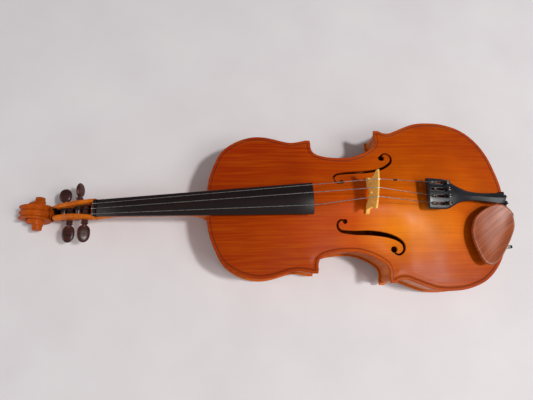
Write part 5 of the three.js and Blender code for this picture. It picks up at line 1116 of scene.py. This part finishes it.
def peg_head(x, z, side, start, turn, length):
    """Two hollowed faces inside a round rim."""
    rings = []
    for share in PEG_HEAD_SHARES:
        swell = max(1 - abs(2 * share ** 0.92 - 1) ** 2.3, 0) ** (1 / 2.1)
        neck = 2.6 * max(1 - share / 0.2, 0)
        half_width = max(PEG_HEAD_WIDTH / 2 * swell, neck, 0.05)
        half_thick = max(PEG_HEAD_THICKNESS / 2 * (0.5 + 0.4 * swell) * swell, neck * 0.9, 0.05)
        ring = []
        for u, v in circle(1, 36):
            hollow = 1 - 0.24 * swell * (1 - u ** 2) ** 2 * math.sin(math.pi * share)
            wide, thick = half_width * u, half_thick * v * hollow
            ring.append((x + wide * math.cos(turn) + thick * math.sin(turn), side * (start + length * share),
                         z - wide * math.sin(turn) + thick * math.cos(turn)))
        rings.append(ring)
    return loft(rings)


for peg_name, (x, z, side, head_gap, turn, nearer) in PEGS.items():
    half = pegbox_half(x)
    collar_at = half + head_gap - nearer
    end = collar_at + half + PEG_PROUD
    profile = [*PEG_START, (half * 2, PEG_SHAFT - .1), *((end + along, radius) for along, radius in PEG_END)]
    shaft = turned(profile, (x, -side * (half + PEG_PROUD), z), (0, side, 0), 32)
    head = peg_head(x, z, side, collar_at + 2.4, turn,
                    PEG_HEAD_LENGTH + nearer + (BASS_HEAD_LONGER if side < 0 else 0))
    sharpen(add_piece(f"peg_{peg_name}_rosewood", *joined(shaft, head), rosewood_look, f"peg_{peg_name}_body",
                      [f"peg_{peg_name}"], "rosewood"), 45)

# Bridge: two feet fitted to the arch, a heart and two kidneys, thinner towards its crown
BRIDGE_PLACE, BRIDGE_TURN, BRIDGE_HEIGHT = (208.0, 5.6), -0.148, 107.0
BRIDGE_FOOT_SPAN, BRIDGE_CROWN_SPAN, BRIDGE_CROWN_DROP = 49.0, 50.0, 3.4
BRIDGE_THICKNESSES, BRIDGE_GRID, FOOT_GAP = (4.6, 2.0), 1.6, 0.12
FOOT_INNER_END = .46
# Shares of half the feet's span and of the bridge's height
BRIDGE_SIDE = [(1.0, .05), (.96, .085), (.86, .115), (.76, .16), (.72, .22), (.76, .29), (.82, .34),
               (.79, .38), (.76, .42), (.79, .48), (.84, .52), (.79, .555), (.84, .62), (.93, .70),
               (.99, .77), (1.01, .83)]
BRIDGE_ARCH = [(.455, .06), (.44, .1), (.38, .155), (.3, .2), (.2, .24), (.1, .262), (0, .27)]
BRIDGE_HEART = [(0, .355), (.07, .385), (.13, .44), (.175, .51), (.165, .575), (.1, .605), (.04, .585),
                (0, .555)]
BRIDGE_KIDNEY = [(.36, .5), (.44, .478), (.54, .482), (.63, .52), (.7, .58), (.71, .635), (.66, .68),
                 (.6, .668), (.57, .63), (.5, .615), (.42, .61), (.37, .575)]
CUTOUT_SHARE = 0.72
foot_half, crown_half = BRIDGE_FOOT_SPAN / 2, BRIDGE_CROWN_SPAN / 2
bridge_across_axis = np.array([math.sin(-BRIDGE_TURN), math.cos(BRIDGE_TURN)])
bridge_through_axis = np.array([math.cos(BRIDGE_TURN), math.sin(BRIDGE_TURN)])


def bridge_plan(across, through):
    return np.array(BRIDGE_PLACE) + bridge_across_axis * across + bridge_through_axis * through


def bridge_crown(across):
    return BRIDGE_HEIGHT - BRIDGE_CROWN_DROP * (across / crown_half) ** 2


def bridge_floor(across, through=0.0):
    """Height of the front under a place in the bridge."""
    return float(front_top(*bridge_plan(across, through))) + FOOT_GAP


bridge_base = bridge_floor(0) - 1.5
bridge_rise = BRIDGE_HEIGHT - bridge_base


def bridge_line(shares, **spacing):
    """A smooth line through places given as shares of the bridge."""
    return smooth_line([(a * foot_half, bridge_base + b * bridge_rise) for a, b in shares], **spacing)


def bridge_outline():
    """The closed line round the bridge, from one foot over the crown to the other and back by the arch."""
    feet = [[(side * a, bridge_floor(side * a)) for a in foot_half * np.linspace(FOOT_INNER_END, 1, 9)]
            for side in (1, -1)]
    shoulder = smooth_line([(foot_half * BRIDGE_SIDE[-1][0], bridge_base + BRIDGE_SIDE[-1][1] * bridge_rise),
                            (crown_half + 0.2, bridge_base + .87 * bridge_rise),
                            (crown_half, bridge_crown(crown_half) - 0.4)], count=4)
    crown = []
    for across in np.linspace(crown_half - 0.4, 0.4 - crown_half, 83):
        notched = any(abs(across - place) < radius + 0.15 for _, radius, _, place, *_ in STRINGS.values())
        crown.append((across, bridge_crown(across) - (0.55 if notched else 0)))
    side_line = [*bridge_line(BRIDGE_SIDE, step=0.8), *shoulder[1:]]
    arch = bridge_line(BRIDGE_ARCH, step=1.0)
    return np.array([*feet[0], *side_line, *crown, *mirrored(side_line)[::-1], *feet[1][::-1],
                     *mirrored(arch), *arch[:-1][::-1]])


def bridge_cutouts():
    heart = bridge_line(BRIDGE_HEART, step=0.7)
    heart = np.concatenate([heart, (heart * (-1, 1))[-2:0:-1]])
    kidney = bridge_line(BRIDGE_KIDNEY, step=0.7, closed=True)[:-1]
    return [mix(cutout.mean(axis=0), cutout, CUTOUT_SHARE) for cutout in (heart, kidney, kidney * (-1, 1))]


def bridge_vertex(across, up, on_front):
    """Where a point of the bridge's flat drawing lies on its upright or its sloping face."""
    thick, crown_thick = BRIDGE_THICKNESSES
    share = np.clip((up - bridge_base) / bridge_rise, 0, 1)
    through = thick / 2 if on_front else mix(-thick / 2, thick / 2 - crown_thick, share ** 1.25)
    if abs(up - bridge_floor(across)) < 0.02 and abs(across) > .4 * foot_half:
        up = bridge_floor(across, through)
    return (*bridge_plan(across, through), up)


def bridge_body():
    line, cutouts = bridge_outline(), bridge_cutouts()
    inner = grid_points(np.arange(-crown_half, crown_half + 0.1, BRIDGE_GRID),
                        np.arange(bridge_base, BRIDGE_HEIGHT, BRIDGE_GRID))

    def is_wood(centres):
        keep = within(centres, line)
        for cutout in cutouts:
            keep &= ~within(centres, cutout)
        return keep

    points, edges = [], []
    for border in (line, *cutouts):
        inner = inner[gap_to_line(inner, border) > 0.7]
        edges += loop_edges(len(points), len(border))
        points += list(border)
    plan, triangles = fill_plan([*points, *inner[is_wood(inner)]], edges, is_wood, 1e-5)
    vertices = [bridge_vertex(across, up, on_front) for on_front in (True, False) for across, up in plan]
    return vertices, slab_faces(triangles, len(plan))


bridge = add_piece("bridge_carved", *bridge_body(), bridge_look, stands_for=["bridge"], slot="bridge_maple")
sharpen(soften(bridge, 0.28, 2, 50), 40)

# Tailpiece measures that the strings' ends need
TAIL_FROM, TAIL_TO = np.array([280.5, 4.8]), np.array([394.5, 0.3])
TAIL_TOPS, TAIL_HEAD_WIDTH, TAIL_WAIST_WIDTH = (87.0, 71.0), 41.0, 10.4
TAIL_CROWN, TAIL_THICKNESS = 4.0, 6.5
TAIL_TOP_CURVE = [(-.15, -.02), (0, 0), (.3, .2), (.55, .62), (.8, .9), (1, 1), (1.1, 1.02)]
TUNER_PLACES = [13.8, 4.6, -4.6, -13.8]
TUNER_PIVOT_ALONG, TUNER_TOP_BASE = 10.5, 86.49
tail_length = float(np.linalg.norm(TAIL_TO - TAIL_FROM))
tail_along_axis = (TAIL_TO - TAIL_FROM) / tail_length
tail_across_axis = np.array([-tail_along_axis[1], tail_along_axis[0]])
tail_top_line = smooth_line(TAIL_TOP_CURVE)


def tail_point(along, across, up):
    return np.array([*(TAIL_FROM + tail_along_axis * along + tail_across_axis * across), up])


def tail_top(share):
    return mix(*TAIL_TOPS, table_curve(tail_top_line, share))


def tail_drop(across):
    """How much the tailpiece's head has fallen at a place across it."""
    return TAIL_CROWN * (across / (TAIL_HEAD_WIDTH / 2)) ** 2


def tuner_top(across):
    return TUNER_TOP_BASE - tail_drop(across)


def tube(points, radii, sides):
    """A closed tube along the points with a radius for each."""
    points = np.asarray(points, dtype=float)
    ways = np.gradient(points, axis=0)
    ways /= np.linalg.norm(ways, axis=1)[:, None]
    normal = np.array([0.0, 0.0, 1.0])
    rings = []
    for point, way, radius in zip(points, ways, np.broadcast_to(radii, len(points))):
        if abs(normal @ way) > 0.99:
            normal = np.array([0.0, 1.0, 0.0])
        normal = normal - way * (normal @ way)
        normal /= np.linalg.norm(normal)
        across = np.cross(way, normal)
        rings.append([point + normal * u + across * v for u, v in circle(radius, sides)])
    return loft(rings)


# Strings: wound wire from a winding on the peg over nut and bridge to a tuner's hook
WINDING_LOOPS, LOOP_STEPS, WINDING_PITCH_GAP, WINDING_CLEARANCE = 3, 32, 0.6, 0.35
# Middle of each winding, as a share of the pegbox's narrow end
WINDING_SHARES = {"a": 0.16, "d": 0.115, "g": -0.15}
SLACK_ACROSS, SLACK_PAST_END = -10.0, 2.0
HOOK_ALONG, HOOK_RISE = TUNER_PIVOT_ALONG - 3.4, 1.1
BALL = [(-1.6, 0.6), (-1.2, 1.0), (-0.2, 1.0), (0.0, 0.6)]
SLEEVE_PROFILE = [(0, 0.55), (0, 0.95), (0.15, 1.12), (0.4, 1.2), (2.5, 1.14), (4.6, 1.2), (4.85, 1.12),
                  (5, 0.95), (5, 0.55), (0, 0.55)]
SLEEVE_FROM_BRIDGE = 21.0


def winding(peg_name, radius, nut_point):
    """The loops round a peg, ending where the string leaves it for the nut."""
    x, z, side, *_ = PEGS[peg_name]
    coil_radius = PEG_SHAFT + WINDING_CLEARANCE + radius
    reach = math.hypot(nut_point[0] - x, nut_point[2] - z)
    leave = math.atan2(nut_point[2] - z, nut_point[0] - x) + math.acos(coil_radius / reach)
    middle, pitch = WINDING_SHARES[peg_name] * PEGBOX_WIDTHS[1], 2 * radius + WINDING_PITCH_GAP
    coil = []
    for step in range(WINDING_LOOPS * LOOP_STEPS + 1):
        loops = step / LOOP_STEPS
        angle = leave + 2 * np.pi * (WINDING_LOOPS - loops)
        across = middle + side * pitch * (loops - WINDING_LOOPS / 2)
        coil.append(np.array([x + coil_radius * math.cos(angle), across, z + coil_radius * math.sin(angle)]))
    return coil


def string_route(peg_name, radius, nut_across, bridge_across, tuner_across, slack):
    """A string's line, where it ends at its tuner, where it crosses the bridge, and the way between them."""
    nut_point = np.array([(nut_back + nut_front) / 2, nut_across,
                          board_top(NUT_ALONG, nut_across) + NUT_PROUD + radius / 2])
    path = winding(peg_name, radius, nut_point)
    path += [mix(path[-1], nut_point, share) for share in (0.3, 0.6, 0.94)] + [nut_point]
    if slack:
        rest_up = board_top(BOARD_END, SLACK_ACROSS) + radius + 0.3
        rest = np.array([BOARD_END - SLACK_PAST_END, SLACK_ACROSS, rest_up])
        path += [mix(nut_point, rest, share) for share in (0.02, 0.5, 0.97)]
        path += [rest, rest + (2 * SLACK_PAST_END, 0, 0.3)]
    crossing = np.array([*bridge_plan(bridge_across, BRIDGE_THICKNESSES[0] / 2 - 1.0),
                         bridge_crown(bridge_across) + radius - 0.2])
    tuned = tail_point(HOOK_ALONG, tuner_across, tuner_top(tuner_across) + HOOK_RISE)
    ahead = (tuned - crossing) / np.linalg.norm(tuned - crossing)
    path += [mix(path[-1], crossing, share) for share in (0.02, 0.5, 0.985)] + [crossing + ahead]
    path += [mix(path[-1], tuned, share) for share in (0.03, 0.5)] + [tuned - ahead]
    return np.array(path), tuned, crossing, ahead


for string_name, (peg_name, radius, *places) in STRINGS.items():
    path, tuned, crossing, ahead = string_route(peg_name, radius, *places)
    ball = tube([tuned + ahead * along for along, _ in BALL], [ball_radius for _, ball_radius in BALL], 14)
    string = add_piece(f"string_{string_name}_wire", *joined(tube(path, radius, 10), ball),
                       [string_look, winding_look], stands_for=[f"string_{string_name}"], slot="string_metal")
    for polygon in string.data.polygons:
        polygon.material_index = int(spot_of(polygon)[0] < nut_back - 3)

_, _, crossing, ahead = string_route(*STRINGS["high"])
add_piece("string_sleeve_tube", *turned(SLEEVE_PROFILE, crossing + ahead * SLEEVE_FROM_BRIDGE, ahead, 20),
          sleeve_look, stands_for=["string_sleeve"], slot="black_rubber")

# Tailpiece: a wide slotted head, a ridged waist and a rounded end
# Shares of the way from the waist's width to the head's
TAIL_WIDTH_CURVE = [(-.05, 1.0), (0, 1.0), (.12, .995), (.2, .975), (.245, .9), (.285, .74), (.32, .58),
                    (.36, .42), (.41, .28), (.46, .17), (.52, .08), (.6, .035), (.68, .03), (.76, .05),
                    (.84, .09), (.9, .125), (.945, .12), (.98, .03), (1.0, -.15)]
TAIL_STATIONS = [0.0, 0.003, 0.008, 0.018, 0.05, 0.1, 0.15, 0.2, 0.23, 0.26, 0.29, 0.32, 0.35, 0.38, 0.41,
                 0.44, 0.47, 0.5, 0.54, 0.58, 0.63, 0.68, 0.73, 0.78, 0.83, 0.88, 0.92, 0.95, 0.97, 0.985,
                 0.994, 1.0]
# How far the rounded ends draw in and drop
TAIL_ENDS = {0.0: (1.1, 1.2), 0.003: (0.5, 0.6), 0.008: (0.15, 0.2), 0.994: (0.6, 0.5), 1.0: (1.6, 1.4)}
RIDGE_DROP, RIDGE_THICKNESS = 2.3, 5.4
SLOT_START, SLOT_LENGTH, SLOT_WIDTH = 3.5, 19.0, 3.4
SCREW_RADIUS, KNOB_RADIUS, KNOB_LENGTH, THREAD_PITCH = 1.3, 2.7, 4.5, 0.3
TURNING_GAP = 0.35
CUT_FROM, CUT_TO = 70, 95
PIN_RADIUS, PIN_DROP = 0.7, 3.0
PIN_PROFILE = [(0, 0), (0, 0.6), (0.1, PIN_RADIUS), (4.7, PIN_RADIUS), (4.8, 0.6), (4.8, 0)]
tail_width_line = smooth_line(TAIL_WIDTH_CURVE)
screw_along = SLOT_START + SLOT_LENGTH + SCREW_RADIUS + 2.0


def tail_ring(share):
    """Cross-section of the tailpiece, crowned at its head and ridged from its waist on."""
    inset_by, lower = TAIL_ENDS.get(share, (0, 0))
    half = mix(TAIL_WAIST_WIDTH, TAIL_HEAD_WIDTH, table_curve(tail_width_line, share)) / 2 - inset_by
    top = tail_top(share) - lower
    ridge = np.clip((share - 0.3) / 0.25, 0, 1)
    drop = mix(TAIL_CROWN * half / (TAIL_HEAD_WIDTH / 2), RIDGE_DROP, ridge)
    thick = mix(TAIL_THICKNESS, RIDGE_THICKNESS, ridge) - 2 * lower
    section = []
    for across in np.linspace(1, -1, 33):
        edge = 0.9 * max(abs(across) - 0.93, 0) / 0.07
        section.append((across, drop * abs(across) ** mix(2.0, 1.15, ridge) + edge ** 2 * 0.8))
    for across in np.linspace(-0.94, 0.94, 9):
        section.append((across, thick + 0.5 * (1 - across ** 2) * (1 - ridge)))
    return [tail_point(share * tail_length, across * half, top - down) for across, down in section]


def slot_line(across, grow):
    """A slot's outline, a rectangle with rounded ends, along and across the tailpiece."""
    half = SLOT_WIDTH / 2 + grow
    ends = ((SLOT_START + SLOT_WIDTH / 2, np.pi / 2), (SLOT_START + SLOT_LENGTH - SLOT_WIDTH / 2, -np.pi / 2))
    return [(along + half * math.cos(angle), across + half * math.sin(angle))
            for along, first in ends for angle in np.linspace(first, first + np.pi, 9)]


def straight_hole(radius, length, start, direction, sides):
    return cutter(*turned([(0, radius), (length, radius)], start, direction, sides))


cutters, rims, pins = [], [], []
for across in TUNER_PLACES:
    plan = [tail_point(a, c, 0)[:2] for a, c in slot_line(across, 0.05)]
    cutters.append(cutter(*upright(plan, CUT_FROM, CUT_TO)))
    screw_start = tail_point(screw_along, across, CUT_FROM - 2)
    cutters.append(straight_hole(SCREW_RADIUS + TURNING_GAP, 30, screw_start, (0, 0, 1), 24))
    # A thin raised rim round each slot, whose grey paints the highlight on the slot's edge
    line = slot_line(across, 0.35)
    rim = [tail_point(a, c, tail_top(a / tail_length) - tail_drop(c) + 0.02)
           for a, c in even_line(line + line[:1], step=0.8)]
    rims.append(tube(rim, 0.26, 8))
    start = tail_point(TUNER_PIVOT_ALONG, across - SLOT_WIDTH / 2 - PIN_RADIUS, tuner_top(across) - PIN_DROP)
    pins.append(turned(PIN_PROFILE, start, (*tail_across_axis, 0), 16))
shell = add_piece("tailpiece_shell", *loft([tail_ring(share) for share in TAIL_STATIONS]), plastic_look,
                  stands_for=["tailpiece"], slot="black_plastic")
carve(shell, *cutters)
sharpen(soften(shell, 0.22, 2, 40), 35)
add_piece("tailpiece_slot_rims_painted_highlight", *joined(*rims), slot_rim_highlight_look, slot="black_plastic")
add_piece("tailpiece_pins", *joined(*pins), tuner_look, slot="tuner_metal")

# Fine tuners: knurled screws and the levers that they press
lever_reach = screw_along - TUNER_PIVOT_ALONG
lever_tail_top = tail_top(screw_along / tail_length) - TAIL_THICKNESS - 2 * TURNING_GAP - 0.5
# The knob from where the thread ends
KNOB = [(0, SCREW_RADIUS), (0, KNOB_RADIUS - 0.7), (.3, KNOB_RADIUS - .15), (.7, KNOB_RADIUS),
        (1.9, KNOB_RADIUS), (2.1, KNOB_RADIUS - .35), (2.4, KNOB_RADIUS - .35), (2.6, KNOB_RADIUS),
        (KNOB_LENGTH - .6, KNOB_RADIUS), (KNOB_LENGTH - .15, KNOB_RADIUS - .3),
        (KNOB_LENGTH, KNOB_RADIUS - .9), (KNOB_LENGTH - .35, 1.4), (KNOB_LENGTH - .4, 0)]
KNURLS = 48
# The lever's side view from its hook to its foot and from its foot back, in reaches and thicknesses
LEVER_DOWN = [(-.17, .246), (-.12, .31), (-.059, .308), (.06, .14), (.124, -.092), (.15, -.4), (.15, -.677),
              (.12, -.95)]
LEVER_BACK = [(.065, -1.108), (-.06, -1.02), (-.124, -.831), (-.12, -.45), (-.111, -.092), (-.16, .0),
              (-.196, .092)]
LEVER_FOOT = [(-1.3, 0), (1.3, 0), (1.7, -0.5), (1.3, -1.4)]


def tuner_screw(across):
    """A threaded screw that stands on its lever, with grooves round its knob."""
    low = tail_point(screw_along, across, lever_tail_top + 0.35)
    length = tuner_top(across) + 0.8 - low[2]
    thread = [(step * THREAD_PITCH, SCREW_RADIUS - (0.12 if step % 2 else 0.0))
              for step in range(int(length / THREAD_PITCH))]
    knob = [(length + along, radius) for along, radius in KNOB]
    vertices, faces = turned([(0, 0), *thread, *knob], low, (0, 0, 1), KNURLS)
    heights, ways = vertices[:, 2] - low[2] - length, vertices[:, :2] - low[:2]
    angles = np.arctan2(ways[:, 1], ways[:, 0])
    on_rim = np.linalg.norm(ways, axis=1) > KNOB_RADIUS - 0.1
    grooved = (np.round(angles / (2 * np.pi / KNURLS)) % 2 == 1) & on_rim
    grooved &= (heights > 0.5) & (heights < KNOB_LENGTH - 0.3)
    vertices[:, :2] = low[:2] + ways * np.where(grooved, 0.95, 1.0)[:, None]
    return vertices, faces


def tuner_lever(across):
    half, top = SLOT_WIDTH / 2 - TURNING_GAP - 0.05, tuner_top(across)
    down, back = ([(TUNER_PIVOT_ALONG + a * lever_reach, top + b * TAIL_THICKNESS) for a, b in run]
                  for run in (LEVER_DOWN, LEVER_BACK))
    foot = [(screw_along + a, lever_tail_top + b) for a, b in LEVER_FOOT]
    side_line = down + foot + back
    return loft([[tail_point(a, across + offset, z) for a, z in side_line] for offset in (-half, half)])


for number, across in enumerate(TUNER_PLACES, 1):
    screw = add_piece(f"tuner_screw_{number}_knurled", *tuner_screw(across), screw_look,
                      f"tuner_screw_{number}_body", [f"tuner_screw_{number}"], "tuner_metal")
    sharpen(screw, 40)
    lever = add_piece(f"tuner_lever_{number}_steel", *tuner_lever(across), tuner_look,
                      f"tuner_lever_{number}_body", [f"tuner_lever_{number}"], "tuner_metal")
    carve(lever, straight_hole(PIN_RADIUS + TURNING_GAP, 8, tail_point(
        TUNER_PIVOT_ALONG, across - 4, tuner_top(across) - PIN_DROP), (*tail_across_axis, 0), 20))
    sharpen(soften(lever, 0.18, 2, 50), 40)

# Saddle, end button and the cord that holds the tailpiece
SADDLE_WIDTH, SADDLE_DEPTH, SADDLE_RISE, SADDLE_SUNK = 24.0, 7.0, 5.0, 0.2
SADDLE_SIDE = [(1, .2), (.82, .6), (.6, .86), (.42, .98), (.3, 1), (.16, .92), (.06, .72), (0, .3)]
# Places across one half and the share of the height there, with a groove for the cord
SADDLE_HALF = [(-SADDLE_WIDTH / 2, .45), (.2 - SADDLE_WIDTH / 2, .8), (.9 - SADDLE_WIDTH / 2, 1), (-6, 1),
               (-4.2, .97), (-3.4, .97), (-2, 1)]
rings = []
for across, grow in SADDLE_HALF + mirrored(SADDLE_HALF)[::-1]:
    side_line = [(SADDLE_DEPTH * a, FRONT_EDGE_TOP - SADDLE_SUNK + (SADDLE_RISE + SADDLE_SUNK) * b * grow)
                 for a, b in SADDLE_SIDE]
    side_line = [(SADDLE_DEPTH, RIB_TOP + GLUE_GAP), *side_line, (0, RIB_TOP + GLUE_GAP)]
    rings.append([(BODY_LENGTH - x, across, z) for x, z in side_line])
sharpen(add_piece("saddle_ebony", *loft(rings), ebony_look, stands_for=["saddle"], slot="ebony"), 45)

BUTTON_UP, BUTTON_PEG, BUTTON_HEAD_RADIUS = 40.0, 15.0, 7.0
BUTTON_SIDE = [(0, .70), (.03, .76), (.12, .76), (.2, .7), (.27, .6), (.36, .56), (.45, .56), (.52, .6),
               (.6, .84), (.66, .97), (.74, 1), (.84, 1), (.92, .95), (.97, .85), (1, .7), (.985, .5),
               (.97, .3), (.97, 0)]
button_face = BODY_LENGTH - EDGE_OVERHANG + GLUE_GAP
profile = [(0, 0), (0, 3.1), (BUTTON_PEG - 0.5, 3.6),
           *((BUTTON_PEG + GLUE_GAP + 10 * a, BUTTON_HEAD_RADIUS * b) for a, b in BUTTON_SIDE)]
button = turned(profile, (button_face - BUTTON_PEG, 0, BUTTON_UP), (1, 0, 0), 40)
sharpen(add_piece("end_button_ebony", *button, ebony_look, stands_for=["end_button"], slot="ebony"), 45)

GUT_RADIUS, GUT_HALF_SPACING, GUT_HOLE_DEPTH, NECK_RADIUS = 1.0, 4.0, 10.0, 4.0
gut_loop_along = button_face + GLUE_GAP + 4.1
gut_loop_radius = NECK_RADIUS + GUT_RADIUS + GLUE_GAP


def gut_side(side):
    """One side of the cord, from inside the tailpiece over the saddle to the button's neck."""
    up, saddle_top = TAIL_TOPS[1] - TAIL_THICKNESS / 2, FRONT_EDGE_TOP + SADDLE_RISE
    held = [tail_point(tail_length + along, side * GUT_HALF_SPACING, up)
            for along in (2 - GUT_HOLE_DEPTH, -2, 1)]
    free = [(BODY_LENGTH - SADDLE_DEPTH * .3, .15, saddle_top + GUT_RADIUS + .3),
            (BODY_LENGTH + GUT_RADIUS, .3, saddle_top - GUT_RADIUS / 2), (gut_loop_along, .6, FRONT_EDGE_TOP)]
    return held + [(x, side * mix(GUT_HALF_SPACING, gut_loop_radius, share), z) for x, share, z in free]


gut_round = [(gut_loop_along, gut_loop_radius * math.cos(a), BUTTON_UP + gut_loop_radius * math.sin(a))
             for a in np.linspace(0, -np.pi, 11)]
gut_path = smooth_line([*gut_side(1), *gut_round, *gut_side(-1)[::-1]], step=0.9)
add_piece("tailgut_cord", *tube(gut_path, GUT_RADIUS, 14), gut_look, stands_for=["tailgut"], slot="gut")

# Chin rest: a dished rosewood plate with a rounded rim and a hollowed underside, on a foot above the clamp
CHIN_PLACE, CHIN_SIZE, CHIN_TOP, CHIN_TIP_SHARE = (367.4, -47.5), (58.4, 77.8), 73.0, 0.035
CHIN_RIM = [(-.953, .253), (-.713, .597), (-.226, .86), (.237, .997), (.652, .973), (.978, .72), (1, .513),
            (.964, .226), (.774, -.075), (.362, -.546), (.14, -.758), (-.186, -.968), (-.441, -1),
            (-.656, -.9), (-.882, -.505), (-1, -.11)]
# Shares of the way from the middle to the rim, over the top and back under, with the height there
CHIN_PROFILE = [(0.01, -4.0), (.15, -3.98), (.3, -3.85), (.46, -3.5), (.62, -2.8), (.76, -1.75),
                (.86, -.85), (.925, -.22), (.955, -.02), (.975, -.12), (.99, -.7), (1.0, -1.9), (1.0, -3.2),
                (.985, -4.2), (.955, -5.4), (.92, -6.4), (.87, -7.1), (.82, -7.5), (.72, -7.5), (.5, -7.3),
                (.25, -7.1), (0.01, -7.0)]
chin_rim = smooth_line(np.array(CHIN_RIM) * CHIN_SIZE / 2, count=121, closed=True)[:-1]
rings = [[(CHIN_PLACE[0] + x * share, CHIN_PLACE[1] + y * share, CHIN_TOP + down + y * share * CHIN_TIP_SHARE)
          for x, y in chin_rim] for share, down in smooth_line(CHIN_PROFILE, count=58)]
sharpen(add_piece("chin_rest_plate", *loft(rings), chin_look, stands_for=["chin_rest"],
                  slot="chin_rest_wood"), 60)

# Clamp: two flat bars and the threaded rods that two barrels draw together
FOOT_REACH, BAR_HEIGHT, LEG_PAD, CLAMP_ACROSS, LEG_END = 20.0, 3.0, 3.0, -41.5, 1.9
ROD_RADIUS, ROD_PITCH, ROD_GRIP, BARREL_LENGTH = 1.5, 0.35, 5.0, 19.0
BARREL_END = [(0, 1.9), (0, 2.4), (.25, 2.75), (.6, 3.0), (2.4, 3.0), (2.6, 2.8), (3.0, 2.8), (3.2, 3.0)]
ROD_HOLE = [(5.5, 0.02), (5.5, 1.87)]
KEY_HOLE_RADIUS, KEY_HOLE_LENGTH = 1.05, 10
tail_end_line = outline[(outline[:, 0] > (LOWER_CORNER + BODY_LENGTH) / 2) & (outline[:, 1] <= 0)]
tail_end_line = tail_end_line[np.argsort(tail_end_line[:, 1])]


def tail_edge(y):
    """How far along the sound box's edge lies at a place across its bass half."""
    return table_curve(tail_end_line[:, ::-1], y)


def leg_place(barrel_name, y):
    """Plan place of a leg, along in the middle of the CAD barrel that turns on it."""
    low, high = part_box(barrel_name)
    return (low[0] + high[0]) / 2 / MILLIMETRE - FRAME_SHIFT, y


INNER_LEG, OUTER_LEG = leg_place("clamp_barrel_1", -19.5), leg_place("clamp_barrel_2", -63.5)
LEGS = (INNER_LEG, OUTER_LEG)
bar_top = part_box("clamp_bar")[1][2] / MILLIMETRE
bar_bottom = bar_top - BAR_HEIGHT
foot_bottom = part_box("clamp_foot")[0][2] / MILLIMETRE
barrel_from = (foot_bottom + BAR_HEIGHT + bar_bottom - BARREL_LENGTH) / 2


def beside(leg, along, across):
    return leg[0] + along, leg[1] + across


clamp_plan = [(tail_edge(INNER_LEG[1]) - FOOT_REACH, INNER_LEG[1] + LEG_PAD), beside(INNER_LEG, .5, LEG_END),
              beside(INNER_LEG, LEG_END, .5), beside(INNER_LEG, LEG_END, -LEG_END),
              beside(OUTER_LEG, LEG_END, LEG_END), beside(OUTER_LEG, LEG_END, -.5),
              beside(OUTER_LEG, .5, -LEG_END), (tail_edge(OUTER_LEG[1]) - FOOT_REACH, OUTER_LEG[1] - LEG_PAD)]
clamp_window = [beside(INNER_LEG, -6.0, -2.6), beside(INNER_LEG, 9.0, -2.6), beside(OUTER_LEG, 12.0, 2.6),
                beside(OUTER_LEG, -5.0, 2.6)]


def clamp_frame(name, node, level, rod_from, rod_to):
    """A flat bar with an opening between its two legs, and a threaded rod at each leg."""
    bar = add_piece(name, *upright(clamp_plan, level, level + BAR_HEIGHT), clamp_look, stands_for=[node],
                    slot="clamp_metal")
    carve(bar, cutter(*upright(clamp_window, level - 2, level + BAR_HEIGHT + 2)))
    sharpen(soften(bar, 0.55, 3, 40), 35)
    length = rod_to - rod_from
    steps = int(length / ROD_PITCH)
    thread = [(step * length / steps, ROD_RADIUS - (0.16 if step % 2 else 0.0)) for step in range(steps + 1)]
    rods = [turned([(0, 0), *thread, (length, 0)], (*leg, rod_from), (0, 0, 1), 24) for leg in LEGS]
    sharpen(add_piece(f"{name}_rods", *joined(*rods), clamp_look, slot="clamp_metal"), 30)


clamp_frame("clamp_top_bar", "clamp_bar", bar_bottom, barrel_from + BARREL_LENGTH - ROD_GRIP, bar_top)
clamp_frame("clamp_foot_bar", "clamp_foot", foot_bottom, foot_bottom, barrel_from + ROD_GRIP)
lower_half = [*ROD_HOLE, *BARREL_END]
upper_half = [(BARREL_LENGTH - along, radius) for along, radius in BARREL_END[::-1] + ROD_HOLE[::-1]]
for number, leg in enumerate(LEGS, 1):
    body = turned(lower_half + upper_half, (*leg, barrel_from), (0, 0, 1), 40)
    barrel = add_piece(f"clamp_barrel_{number}_turned", *body, clamp_look, f"clamp_barrel_{number}_body",
                       [f"clamp_barrel_{number}"], "clamp_metal")
    key_start = (*beside(leg, 0, -KEY_HOLE_LENGTH / 2), barrel_from + BARREL_LENGTH / 2)
    carve(barrel, straight_hole(KEY_HOLE_RADIUS, KEY_HOLE_LENGTH, key_start, (0, 1, 0), 20))
    sharpen(soften(barrel, 0.12, 2, 50), 35)

# How far in from the sound box's edge the foot under the chin rest begins and ends
PILLAR_INNER, PILLAR_OUTER, PILLAR_BELOW_TOP = 19, 9, 6.0
foot_plan = [(tail_edge(INNER_LEG[1]) - PILLAR_INNER, INNER_LEG[1]),
             (tail_edge(INNER_LEG[1]) - PILLAR_OUTER, INNER_LEG[1]),
             (tail_edge(CLAMP_ACROSS) - PILLAR_OUTER, CLAMP_ACROSS),
             (tail_edge(CLAMP_ACROSS) - PILLAR_INNER, CLAMP_ACROSS - LEG_PAD)]
foot = add_piece("chin_rest_foot", *upright(foot_plan, bar_top + GLUE_GAP, CHIN_TOP - PILLAR_BELOW_TOP),
                 chin_look, slot="chin_rest_wood")
sharpen(soften(foot, 1.2, 3, 40), 35)

# CAD nodes that stay get their slot's material
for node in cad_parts.values():
    for index, slot_material in enumerate(node.data.materials):
        slot_name = slot_material.name.split(".")[0] if slot_material else ""
        if slot_name in SLOT_LOOKS:
            node.data.materials[index] = SLOT_LOOKS[slot_name]
